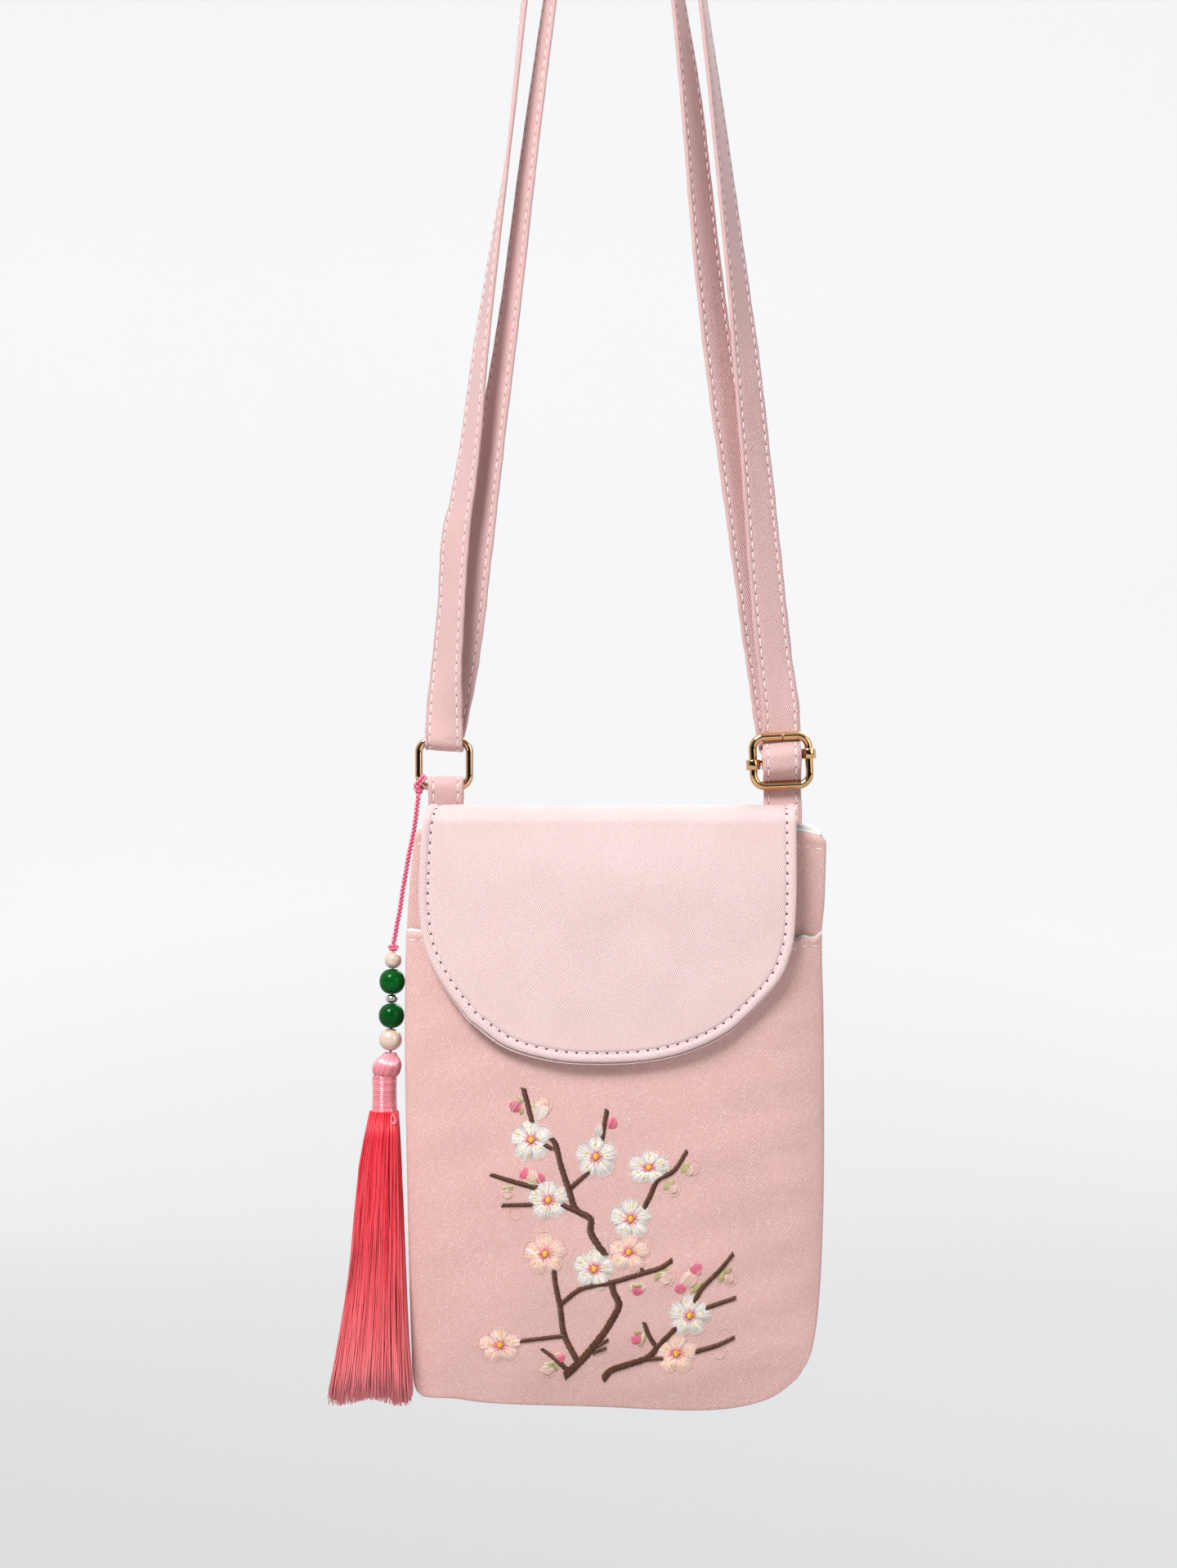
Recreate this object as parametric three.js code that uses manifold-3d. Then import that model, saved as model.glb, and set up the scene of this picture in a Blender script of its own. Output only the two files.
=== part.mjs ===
// Embroidered shoulder bag: a lined pouch with a slip pocket, a rounded flap, a doubled strap
// and a charm of beads and a tassel.
// Millimetres. X runs to the right, -Y to the front, Z up.
// The origin is the hang point, on the underside of the strap's inner loop, where a hook carries the bag.
import * as THREE from "three";
import { mergeVertices } from "three/addons/utils/BufferGeometryUtils.js";
import Module from "manifold-3d";

const wasm = await Module();
wasm.setup();

// Cloth thicknesses and the gap that keeps touching pieces apart.
const POUCH_WALL = 1.6;
const LINING_WALL = 1.0;
const POCKET_WALL = 1.5;
const FLAP_COVER = 1.2;
const FLAP_FACING = 1.1;
const STRAP_THICK = 1.4;
const GAP = 0.3;

// Points closer than these are one point: in cut solids, and where a wire frame closes on itself.
const WELD = 1e-4;
const WIRE_WELD = 1e-3;

// Pouch plan, seen from the front: the left seam from base to mouth, the base and the right seam.
const LEFT_SEAM = [
  { x: -63.2, z: -530.3 },
  { x: -64.3, z: -527.3 },
  { x: -65.0, z: -514.2 },
  { x: -66.3, z: -464.2 },
  { x: -67.1, z: -411.5 },
  { x: -66.5, z: -380.0 },
  { x: -65.6, z: -366.0 },
  { x: -63.9, z: -350.0 },
];
const BASE_SEAM = [
  { x: -63.2, z: -530.3 },
  { x: -61.2, z: -531.8 },
  { x: -51.1, z: -532.6 },
  { x: -39.7, z: -534.0 },
  { x: -5.4, z: -535.2 },
  { x: 27.5, z: -536.4 },
  { x: 40.3, z: -535.3 },
  { x: 51.1, z: -532.1 },
  { x: 58.8, z: -526.4 },
];
const RIGHT_SEAM = [
  { x: 58.8, z: -526.4 },
  { x: 62.5, z: -520.4 },
  { x: 64.4, z: -514.0 },
  { x: 66.2, z: -499.0 },
  { x: 67.5, z: -468.0 },
  { x: 67.5, z: -411.5 },
  { x: 67.0, z: -383.8 },
  { x: 67.9, z: -374.0 },
  { x: 68.6, z: -352.4 },
];

// Mouth of the pouch: the front edge sags below the back edge, and both meet at the corners.
const MOUTH = [
  { x: -63.9, front: -350.0, back: -350.0 },
  { x: -56.0, front: -349.9, back: -348.9 },
  { x: 0.0, front: -350.4, back: -349.0 },
  { x: 58.0, front: -350.3, back: -348.6 },
  { x: 64.0, front: -351.2, back: -349.4 },
  { x: 68.6, front: -352.4, back: -352.4 },
];

// Depth of the walls at mid width, by share of the height from base to mouth.
// The pocket's depth is added to the front's.
const SPAN = { left: -67.1, right: 67.5 };
const SEAM_HALF = 1.8;
const BULGE = [
  { up: 0.0, front: 0.0, back: 0.0, pocket: 0.0 },
  { up: 0.06, front: 1.7, back: 2.4, pocket: 1.0 },
  { up: 0.18, front: 3.2, back: 4.5, pocket: 2.8 },
  { up: 0.4, front: 4.0, back: 5.8, pocket: 4.5 },
  { up: 0.62, front: 4.1, back: 6.0, pocket: 5.0 },
  { up: 0.82, front: 4.0, back: 5.7, pocket: 5.1 },
  { up: 1.0, front: 4.0, back: 5.4, pocket: 5.2 },
];
const ACROSS_POWER = 2.6;
const ACROSS_EASE = 0.7;
const POUCH_COLUMNS = 14;
const POUCH_ROWS = 10;
const LINING_COLUMNS = 12;
const LINING_ROWS = 8;

// Rooms inside the pouch walls: how far each surface stands in from the outer one, and from the seams.
const CAVITY_EDGE = 3.0;
const LINING_EDGE = 3.4;
const ROOM_EDGE = 4.8;
const MOUTH_CLEARANCE = 8.0;
const LINING_RISE = 0.8;

// Top edge of the slip pocket, as heights along its width.
const POCKET_TOP = [
  { x: -66.5, z: -381.6 },
  { x: -30.0, z: -383.6 },
  { x: 20.0, z: -385.2 },
  { x: 58.0, z: -384.4 },
  { x: 61.0, z: -383.6 },
  { x: 63.5, z: -384.0 },
  { x: 67.1, z: -382.2 },
];
const POCKET_GAP = 0.45;
const POCKET_SEARCH = { start: 0.8, passes: 4 };
const POCKET_COLUMNS = 16;
const POCKET_ROWS = 10;

// Flap, laid flat: x across, z as it falls from the fold's top line at zero; the root lies behind the fold.
const FLAP_LEFT = [
  { x: -46.2, z: -72.9 },
  { x: -54.5, z: -61.8 },
  { x: -60.2, z: -49.9 },
  { x: -62.0, z: -38.3 },
  { x: -62.1, z: -30.3 },
  { x: -61.0, z: -11.3 },
  { x: -58.8, z: 2.0 },
  { x: -57.0, z: 34.0 },
];
const FLAP_BOTTOM = [
  { x: -46.2, z: -72.9 },
  { x: -34.6, z: -81.2 },
  { x: -20.0, z: -85.5 },
  { x: -5.5, z: -86.6 },
  { x: 11.0, z: -85.7 },
  { x: 24.0, z: -82.7 },
  { x: 36.3, z: -76.7 },
  { x: 44.6, z: -69.5 },
];
const FLAP_RIGHT = [
  { x: 44.6, z: -69.5 },
  { x: 53.0, z: -59.7 },
  { x: 56.8, z: -49.9 },
  { x: 58.0, z: -38.3 },
  { x: 58.2, z: -10.3 },
  { x: 58.2, z: 2.0 },
  { x: 57.0, z: 34.0 },
];
const FLAP_COLUMNS = 14;
const FLAP_ROWS = 18;

// Folded shape of the flap's inner face: the fold's ends and rise, and how far the front hangs out.
const FOLD_HEIGHT = -347.8;
const FOLD_RISE = 3.55;
const FOLD_LENGTH = 21.5;
const FLAP_HANG = [
  { z: -348.0, middle: -10.3, side: -8.9 },
  { z: -362.0, middle: -12.4, side: -9.4 },
  { z: -384.0, middle: -13.5, side: -9.9 },
  { z: -405.0, middle: -13.9, side: -10.6 },
  { z: -426.0, middle: -14.2, side: -11.4 },
];
const FLAP_HALF = 61.0;
const ROOT_LEVEL = 0.86;
const ROOT_GAP = 0.6;
const FACING_EDGE = 0.012;

// Strap: a ribbon through tables of stations. turn is the heading of one edge in the plan, lean its tilt.
const STRAP_WIDTH = 12.5;
const TAB_WIDTH = 11.4;
const STRAP_STEPS = 2;
const SLIDER_TAIL = [
  { x: 51.6, y: 14.5, z: -309.0, turn: 3, lean: 2 },
  { x: 52.6, y: 14.3, z: -315.5, turn: 1, lean: 2 },
  { x: 53.4, y: 14.1, z: -319.5, turn: 0, lean: 3 },
  { x: 54.4, y: 13.1, z: -323.4, turn: 0, lean: 6 },
  { x: 54.7, y: 11.0, z: -325.6, turn: 0, lean: 9 },
  { x: 54.7, y: 9.75, z: -327.0, turn: 0, lean: 9 },
  { x: 54.7, y: 9.55, z: -328.6, turn: 0, lean: 9 },
  { x: 54.7, y: 8.0, z: -329.5, turn: 0, lean: 9 },
  { x: 54.7, y: 6.55, z: -328.6, turn: 0, lean: 9 },
  { x: 54.7, y: 6.3, z: -327.2, turn: 0, lean: 9 },
  { x: 54.7, y: 6.4, z: -325.8, turn: 0, lean: 9 },
  { x: 54.6, y: 7.35, z: -324.95, turn: 0, lean: 8 },
  { x: 54.3, y: 9.3, z: -324.05, turn: 0, lean: 7 },
  { x: 53.6, y: 11.45, z: -322.5, turn: 0, lean: 5 },
  { x: 53.0, y: 12.3, z: -319.4, turn: 0, lean: 3 },
];
const RISE_INNER_RIGHT = [
  { x: 51.9, y: 12.4, z: -310.5, turn: 2, lean: 1 },
  { x: 49.2, y: 11.9, z: -293.7, turn: 8, lean: 0 },
  { x: 45.2, y: 9.8, z: -267.2, turn: 18, lean: 0 },
  { x: 39.8, y: 7.8, z: -232.2, turn: 29, lean: 0 },
  { x: 34.4, y: 5.9, z: -197.2, turn: 38, lean: 0 },
  { x: 30.0, y: 4.1, z: -162.0, turn: 45, lean: 0 },
  { x: 25.1, y: 1.8, z: -114.0, turn: 56, lean: 0 },
  { x: 20.9, y: 0.6, z: -82.1, turn: 69, lean: 0 },
  { x: 15.0, y: 0.0, z: -42.0, turn: 84, lean: 0 },
];
const FALL_INNER_LEFT = [
  { x: -15.0, y: 0.0, z: -42.0, turn: 96, lean: 0 },
  { x: -20.5, y: 0.6, z: -82.1, turn: 109, lean: 0 },
  { x: -27.1, y: 2.7, z: -130.0, turn: 115, lean: 0 },
  { x: -33.1, y: 5.4, z: -178.0, turn: 121, lean: 0 },
  { x: -39.5, y: 7.9, z: -222.4, turn: 134, lean: 0 },
  { x: -45.4, y: 10.2, z: -264.5, turn: 151, lean: 0 },
  { x: -49.0, y: 11.8, z: -290.0, turn: 165, lean: 0 },
  { x: -52.4, y: 12.9, z: -308.0, turn: 176, lean: 0 },
];
const RISE_OUTER_LEFT = [
  { x: -55.0, y: 8.3, z: -313.0, turn: 166, lean: 0 },
  { x: -54.4, y: 7.8, z: -300.0, turn: 146, lean: 0 },
  { x: -52.8, y: 7.1, z: -279.0, turn: 136, lean: 0 },
  { x: -51.0, y: 6.1, z: -253.0, turn: 138, lean: 0 },
  { x: -49.2, y: 5.8, z: -243.5, turn: 129, lean: 0 },
  { x: -46.1, y: 5.0, z: -222.7, turn: 122, lean: 0 },
  { x: -43.3, y: 4.1, z: -197.4, turn: 114, lean: 0 },
  { x: -38.5, y: 2.9, z: -162.2, turn: 103, lean: 0 },
  { x: -33.9, y: 1.7, z: -130.2, turn: 93, lean: 0 },
  { x: -28.7, y: 0.4, z: -82.1, turn: 97, lean: 0 },
  { x: -23.6, y: 0.0, z: -40.0, turn: 92, lean: 0 },
];
const FALL_OUTER_RIGHT = [
  { x: 23.6, y: 0.0, z: -40.0, turn: 86, lean: 0 },
  { x: 28.8, y: 0.4, z: -82.1, turn: 78, lean: 0 },
  { x: 33.0, y: 1.2, z: -114.1, turn: 70, lean: 0 },
  { x: 37.0, y: 2.4, z: -146.2, turn: 62, lean: 0 },
  { x: 40.9, y: 3.7, z: -178.3, turn: 53, lean: 0 },
  { x: 43.0, y: 4.4, z: -197.4, turn: 44, lean: 0 },
  { x: 46.5, y: 5.9, z: -232.4, turn: 36, lean: 0 },
  { x: 49.7, y: 7.4, z: -267.4, turn: 24, lean: 0 },
  { x: 52.4, y: 9.0, z: -293.9, turn: 18, lean: 0 },
  { x: 54.6, y: 9.9, z: -311.0, turn: 8, lean: 1 },
];
const SLIDER_PASS = [
  { x: 54.9, y: 10.25, z: -319.2, turn: 0, lean: 2.5 },
  { x: 54.8, y: 9.65, z: -321.3, turn: 0, lean: 4 },
  { x: 54.7, y: 8.0, z: -322.45, turn: 0, lean: 6 },
  { x: 54.7, y: 6.0, z: -323.65, turn: 0, lean: 8 },
  { x: 54.7, y: 4.7, z: -325.6, turn: 0, lean: 9 },
  { x: 54.7, y: 4.6, z: -327.7, turn: 0, lean: 9 },
  { x: 54.8, y: 5.1, z: -330.2, turn: 0, lean: 7 },
  { x: 54.9, y: 7.2, z: -332.4, turn: 0, lean: 4 },
  { x: 55.0, y: 9.6, z: -334.0, turn: 0, lean: 3 },
  { x: 55.1, y: 10.3, z: -335.8, turn: 0, lean: 2.5 },
  { x: 55.2, y: 10.5, z: -339.5, turn: 0, lean: 0 },
  { x: 55.2, y: 10.0, z: -345.0, turn: 0, lean: 0 },
  { x: 55.3, y: 9.6, z: -351.0, turn: 0, lean: 0 },
  { x: 55.4, y: 9.6, z: -366.0, turn: 0, lean: 0 },
];
const INNER_LOOP = { radius: 10.7, centreZ: -10.0, from: 12, to: 168, steps: 6 };
const OUTER_LOOP = [
  { x: -21.2, z: -19.0, turn: 90 },
  { x: -16.6, z: -6.4, turn: 90 },
  { x: -9.2, z: 0.9, turn: 90 },
  { x: 0.0, z: 2.45, turn: 90 },
  { x: 9.2, z: 0.9, turn: 90 },
  { x: 16.6, z: -6.4, turn: 90 },
  { x: 21.2, z: -19.0, turn: 90 },
];

// Left ring and right slider, bent from round wire, and the short tab under the ring.
// ROUND_HANDLE is the handle of a quarter circle's curve, as a share of its radius.
const WIRE_RADIUS = 1.3;
const WIRE_SIDES = 7;
const WIRE_STEPS = 28;
const ROUND_HANDLE = 0.5523;
const RING = { x: -55.1, y: 10.8, z: -328.4, width: 16.5, height: 15.0, corner: 3.7, tilt: 0 };
const SLIDER = { x: 54.6, y: 8.0, z: -327.6, width: 18.2, height: 16.1, corner: 3.8, tilt: 2.5 };
const RING_WRAP = 2.75;
const TAB_WRAP = 2.78;
const WRAP_STEPS = 6;
const TAB_FRONT = [
  { x: -54.4, y: 9.55, z: -366.0, turn: 0, lean: 0 },
  { x: -54.5, y: 9.55, z: -350.0, turn: 0, lean: 0 },
  { x: -54.5, y: 8.9, z: -343.0, turn: 0, lean: 0 },
];
const TAB_BACK = [
  { x: -54.5, y: 12.4, z: -342.0, turn: 0, lean: 0 },
  { x: -54.5, y: 11.25, z: -350.0, turn: 0, lean: 0 },
  { x: -54.4, y: 11.25, z: -366.0, turn: 0, lean: 0 },
];
const BAR = { z: -327.0, length: 15.6, depth: 1.2, height: 2.0, tilt: 9.0 };
const BAR_CURL = { outer: 2.35, inner: 1.55, height: 3.3, lift: 1.45, sides: 14 };

// Charm: the hitch on the ring's corner, the free cord, the bead string and the tassel.
const HITCH = { angle: 195, loop: 2.2, tube: 0.72, shift: 0.45, lump: 2.0, clear: 0.15 };
const HITCH_SIDES = 6;
const HITCH_STEPS = 10;
const HITCH_LUMP = { x: -63.6, y: 10.5, z: -336.2 };
const CORD_RADIUS = 1.0;
const CORD_SIDES = 8;
const CORD_STEPS = 24;
const CORD_PATH = [
  { x: -63.6, y: 10.5, z: -339.2 },
  { x: -64.0, y: 10.0, z: -342.4 },
  { x: -64.3, y: 9.5, z: -345.5 },
  { x: -64.7, y: 8.9, z: -348.7 },
  { x: -65.2, y: 8.2, z: -351.8 },
  { x: -65.8, y: 7.3, z: -354.9 },
  { x: -66.4, y: 6.5, z: -357.9 },
  { x: -66.9, y: 5.7, z: -361.0 },
  { x: -67.4, y: 5.0, z: -364.2 },
  { x: -67.9, y: 4.5, z: -367.3 },
  { x: -68.4, y: 3.9, z: -370.5 },
  { x: -68.8, y: 3.4, z: -373.6 },
  { x: -69.3, y: 2.9, z: -376.8 },
  { x: -69.9, y: 2.4, z: -379.9 },
  { x: -70.4, y: 1.9, z: -383.1 },
  { x: -71.0, y: 1.4, z: -386.2 },
];
const STOP_KNOT = { x: -71.1, y: 1.2, z: -388.0, radius: 1.2, spread: 0.9, sides: 8, rows: 5 };
const THREAD_RADIUS = 0.5;
const THREAD_STEPS = 4;
const BORE_RADIUS = 0.85;
const BEAD_SIDES = 14;
const BEAD_ROWS = 7;
const BEADS = [
  { name: "pearl_bead_upper", x: -71.1, y: 1.1, radius: 2.7, height: 5.2 },
  { name: "green_bead_upper", x: -71.4, y: 1.0, radius: 4.0, height: 8.0 },
  { name: "spacer_bead", x: -71.5, y: 0.9, radius: 1.9, height: 2.5 },
  { name: "green_bead_lower", x: -71.6, y: 0.8, radius: 4.0, height: 7.8 },
  { name: "pearl_bead_lower", x: -71.9, y: 0.7, radius: 3.6, height: 7.0 },
];
const STRING_TOP = -389.3;
const TASSEL_SIDES = 14;
const KNOB = { x: -73.3, y: 0.4, radius: 4.5, height: 7.3, clear: 0.5, rows: 8 };
const NECK = { x: -73.8, y: 0.2 };
const NECK_SHAPE = [
  { radius: 0.0, z: -11.6 },
  { radius: 4.2, z: -11.6 },
  { radius: 3.9, z: -9.9 },
  { radius: 3.9, z: -3.5 },
  { radius: 4.2, z: -1.2 },
  { radius: 3.1, z: 0.0 },
  { radius: 0.0, z: 0.0 },
];
const SKIRT = [
  { z: -441.4, x: -73.9, y: 0.0, wide: 4.4, deep: 4.2 },
  { z: -454.4, x: -74.9, y: -1.0, wide: 6.4, deep: 5.6 },
  { z: -470.5, x: -75.3, y: -2.6, wide: 7.6, deep: 6.4 },
  { z: -486.6, x: -75.6, y: -4.4, wide: 8.6, deep: 7.0 },
  { z: -503.0, x: -76.2, y: -6.2, wide: 9.9, deep: 7.4 },
  { z: -519.0, x: -77.0, y: -8.0, wide: 11.8, deep: 7.6 },
  { z: -531.0, x: -77.6, y: -9.2, wide: 13.2, deep: 7.6 },
];
const SKIRT_CORE = 0.74;
const LOCK = { count: 12, sides: 5, spread: 0.36, shortest: 0.93, below: 2.0, offset: 0.25 };
const LOCK_WAVE = { step: 5.3, start: 1.0 };

// Colours of the pieces.
const LOOK = {
  satin: { color: 0xe3b8b8, roughness: 0.6, metalness: 0 },
  flap: { color: 0xefcfd3, roughness: 0.55, metalness: 0 },
  lining: { color: 0xf2efec, roughness: 0.8, metalness: 0 },
  strap: { color: 0xddb0b4, roughness: 0.65, metalness: 0 },
  gold: { color: 0xb98a3e, roughness: 0.3, metalness: 1 },
  cord: { color: 0xe5557d, roughness: 0.6, metalness: 0 },
  pearl: { color: 0xeedfd2, roughness: 0.2, metalness: 0 },
  silver: { color: 0xc9c5bf, roughness: 0.3, metalness: 1 },
  green: { color: 0x00692e, roughness: 0.1, metalness: 0 },
  tassel: { color: 0xf0616b, roughness: 0.6, metalness: 0 },
  bound: { color: 0xf57f92, roughness: 0.4, metalness: 0 },
};

// Smooth curves through table rows, and one column of a table at any place between its rows.
const vector = (x, y, z) => new THREE.Vector3(x, y, z);
const smooth = (points) => new THREE.CatmullRomCurve3(points, false, "centripetal");
const planCurve = (rows) => smooth(rows.map((row) => vector(row.x, 0, row.z)));
function column(rows, key, name) {
  const descending = rows[0][key] > rows[rows.length - 1][key];
  const ordered = descending ? [...rows].reverse() : rows;
  const places = ordered.map((row) => row[key]);
  const values = ordered.map((row) => row[name]);
  const table = new THREE.CubicInterpolant(places, values, 1);
  return (place) => table.evaluate(THREE.MathUtils.clamp(place, places[0], places[places.length - 1]))[0];
}

// A patch between four edge curves that share their corners.
function coons(bottom, top, left, right) {
  const [p00, p10] = [bottom(0), bottom(1)];
  const [p01, p11] = [top(0), top(1)];
  const mix = (a, b, t) => a.clone().lerp(b, t);
  return (u, v) => {
    const ruled = mix(bottom(u), top(u), v).add(mix(left(v), right(v), u));
    return ruled.sub(mix(mix(p00, p10, u), mix(p01, p11, u), v));
  };
}

// A closed solid between two sheets over the same grid; the first sheet's outside faces the viewer.
function slab(outside, inside, columns, rows) {
  const points = [];
  const faces = [];
  const across = columns + 1;
  const layer = across * (rows + 1);
  for (const sheet of [outside, inside]) {
    for (let j = 0; j <= rows; j += 1) {
      for (let i = 0; i <= columns; i += 1) {
        points.push(...sheet(i / columns, j / rows).toArray());
      }
    }
  }
  const quad = (a, b, c, d) => faces.push(a, b, c, a, c, d);
  for (let j = 0; j < rows; j += 1) {
    for (let i = 0; i < columns; i += 1) {
      const a = j * across + i;
      quad(a, a + 1, a + across + 1, a + across);
      quad(layer + a, layer + a + across, layer + a + across + 1, layer + a + 1);
    }
  }
  for (let i = 0; i < columns; i += 1) {
    const high = rows * across + i;
    quad(i, layer + i, layer + i + 1, i + 1);
    quad(high, high + 1, layer + high + 1, layer + high);
  }
  for (let j = 0; j < rows; j += 1) {
    const low = j * across;
    const far = low + columns;
    quad(low, low + across, layer + low + across, layer + low);
    quad(far, layer + far, layer + far + across, far + across);
  }
  return indexed(points, faces);
}

function indexed(points, faces) {
  const geometry = new THREE.BufferGeometry();
  geometry.setAttribute("position", new THREE.Float32BufferAttribute(points, 3));
  geometry.setIndex(faces);
  return geometry;
}

// A ring of section points swept through stations, with a cap on each end.
function sweep(sections) {
  const sides = sections[0].length;
  const points = sections.flat().flatMap((point) => point.toArray());
  const faces = [];
  for (let s = 0; s + 1 < sections.length; s += 1) {
    for (let k = 0; k < sides; k += 1) {
      const a = s * sides + k;
      const b = s * sides + ((k + 1) % sides);
      faces.push(a, b, b + sides, a, b + sides, a + sides);
    }
  }
  const last = (sections.length - 1) * sides;
  for (let k = 1; k + 1 < sides; k += 1) {
    faces.push(0, k + 1, k);
    faces.push(last, last + k, last + k + 1);
  }
  return indexed(points, faces);
}

// Joins and cuts.
function solid(geometry) {
  const bare = geometry.clone();
  bare.deleteAttribute("normal");
  bare.deleteAttribute("uv");
  const merged = mergeVertices(bare, WELD);
  const vertProperties = merged.attributes.position.array;
  const triVerts = new Uint32Array(merged.index.array);
  return new wasm.Manifold(new wasm.Mesh({ numProp: 3, vertProperties, triVerts }));
}
function fromSolid(body) {
  const mesh = body.getMesh();
  return indexed(Array.from(mesh.vertProperties), Array.from(mesh.triVerts));
}
const joined = (geometries) => geometries.map(solid).reduce((sum, next) => sum.add(next));

const group = new THREE.Group();
function place(name, geometry, look) {
  const shaded = geometry.index ? geometry.toNonIndexed() : geometry;
  shaded.computeVertexNormals();
  const mesh = new THREE.Mesh(shaded, new THREE.MeshStandardMaterial(look));
  mesh.name = name;
  group.add(mesh);
}

// Pouch, lining and pocket.
const leftSeam = planCurve(LEFT_SEAM);
const rightSeam = planCurve(RIGHT_SEAM);
const baseSeam = planCurve(BASE_SEAM);
const mouth = {
  front: planCurve(MOUTH.map((row) => ({ x: row.x, z: row.front }))),
  back: planCurve(MOUTH.map((row) => ({ x: row.x, z: row.back }))),
};
const along = (curve) => (t) => curve.getPointAt(t);
const plans = {
  front: coons(along(baseSeam), along(mouth.front), along(leftSeam), along(rightSeam)),
  back: coons(along(baseSeam), along(mouth.back), along(leftSeam), along(rightSeam)),
};
const bulge = {
  front: column(BULGE, "up", "front"),
  back: column(BULGE, "up", "back"),
  pocket: column(BULGE, "up", "pocket"),
};
const pouchWidth = SPAN.right - SPAN.left;
const pouchHeight = leftSeam.getLength();
const acrossWidth = (u) => Math.pow(1 - Math.pow(Math.abs(2 * u - 1), ACROSS_POWER), ACROSS_EASE);
const spread = (t) => (t + (1 - Math.cos(Math.PI * t)) / 2) / 2;
const wallDepth = (side, u, v) => SEAM_HALF + bulge[side](v) * acrossWidth(u);

function wallPoint(side, u, v, inward) {
  const plan = plans[side](u, Math.min(v, 1));
  const depth = wallDepth(side, u, Math.min(v, 1)) - inward;
  const lift = Math.max(v - 1, 0) * pouchHeight;
  return vector(plan.x, side === "front" ? -depth : depth, plan.z + lift);
}

function pillow(inward, edge, rise, columns, rows) {
  const edgeU = edge / pouchWidth;
  const edgeV = edge / pouchHeight;
  const top = 1 + rise / pouchHeight;
  const sheet = (side) => (i, j) => {
    const u = THREE.MathUtils.lerp(edgeU, 1 - edgeU, spread(i));
    const v = THREE.MathUtils.lerp(edgeV, top, spread(j));
    return wallPoint(side, u, v, inward);
  };
  return slab(sheet("front"), sheet("back"), columns, rows);
}

const outerPillow = solid(pillow(0, 0, 0, POUCH_COLUMNS, POUCH_ROWS));
const cavity = solid(pillow(POUCH_WALL, CAVITY_EDGE, MOUTH_CLEARANCE, POUCH_COLUMNS, POUCH_ROWS));
place("pouch", fromSolid(outerPillow.subtract(cavity)), LOOK.satin);

const liningStart = POUCH_WALL + GAP;
const roomStart = liningStart + LINING_WALL;
const liningOuter = solid(pillow(liningStart, LINING_EDGE, LINING_RISE, LINING_COLUMNS, LINING_ROWS));
const room = solid(pillow(roomStart, ROOM_EDGE, MOUTH_CLEARANCE, LINING_COLUMNS, LINING_ROWS));
place("lining", fromSolid(liningOuter.subtract(room)), LOOK.lining);

const pocketTop = column(POCKET_TOP, "x", "z");
function pocketPoint(u, t, outward) {
  let v = POCKET_SEARCH.start;
  for (let pass = 0; pass < POCKET_SEARCH.passes; pass += 1) {
    const plan = plans.front(u, v);
    v += (pocketTop(plan.x) - plan.z) / pouchHeight;
  }
  const point = wallPoint("front", u, t * v, 0);
  const gap = POCKET_GAP + bulge.pocket(t * v) * acrossWidth(u);
  point.y -= gap + outward;
  return point;
}
const pocketSheet = (outward) => (i, j) => pocketPoint(spread(i), j, outward);
const pocket = slab(pocketSheet(POCKET_WALL), pocketSheet(0), POCKET_COLUMNS, POCKET_ROWS);
place("front_pocket", pocket, LOOK.satin);

// Flap: the flat patch is bent over the mouth, with its root on the back wall.
const rootLeft = FLAP_LEFT.at(-1);
const rootRight = FLAP_RIGHT.at(-1);
const flapTop = (t) => vector(THREE.MathUtils.lerp(rootLeft.x, rootRight.x, t), 0, rootLeft.z);
const flapPlan = coons(
  along(planCurve(FLAP_BOTTOM)),
  flapTop,
  along(planCurve(FLAP_LEFT)),
  along(planCurve(FLAP_RIGHT)),
);
const hang = { middle: column(FLAP_HANG, "z", "middle"), side: column(FLAP_HANG, "z", "side") };
function hangDepth(x, z) {
  const out = THREE.MathUtils.clamp(x / FLAP_HALF, -1, 1);
  return THREE.MathUtils.lerp(hang.middle(z), hang.side(z), out * out);
}
function backDepth(x) {
  const u = THREE.MathUtils.clamp((x - SPAN.left) / pouchWidth, 0, 1);
  return wallDepth("back", u, ROOT_LEVEL) + ROOT_GAP;
}
function flapPoint(x, fall, outward) {
  const half = FOLD_LENGTH / 2;
  const backY = backDepth(x) + outward;
  const frontY = hangDepth(x, FOLD_HEIGHT) - outward;
  if (fall > half) {
    return vector(x, backY, FOLD_HEIGHT - (fall - half));
  }
  if (fall < -half) {
    const z = FOLD_HEIGHT + (fall + half);
    return vector(x, hangDepth(x, z) - outward, z);
  }
  const turn = (Math.PI / 2) * (1 - fall / half);
  const middle = (backY + frontY) / 2;
  const reach = (backY - frontY) / 2;
  return vector(x, middle + reach * Math.cos(turn), FOLD_HEIGHT + (FOLD_RISE + outward) * Math.sin(turn));
}
const flapSheet = (outward, edge) => (i, j) => {
  const plan = flapPlan(THREE.MathUtils.clamp(i, edge, 1 - edge), Math.max(j, edge));
  return flapPoint(plan.x, plan.z, outward);
};
const coverStart = FLAP_FACING + GAP;
place(
  "flap",
  slab(flapSheet(coverStart + FLAP_COVER, 0), flapSheet(coverStart, 0), FLAP_COLUMNS, FLAP_ROWS),
  LOOK.flap,
);
place(
  "flap_facing",
  slab(flapSheet(FLAP_FACING, FACING_EDGE), flapSheet(0, FACING_EDGE), FLAP_COLUMNS, FLAP_ROWS),
  LOOK.flap,
);

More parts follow.
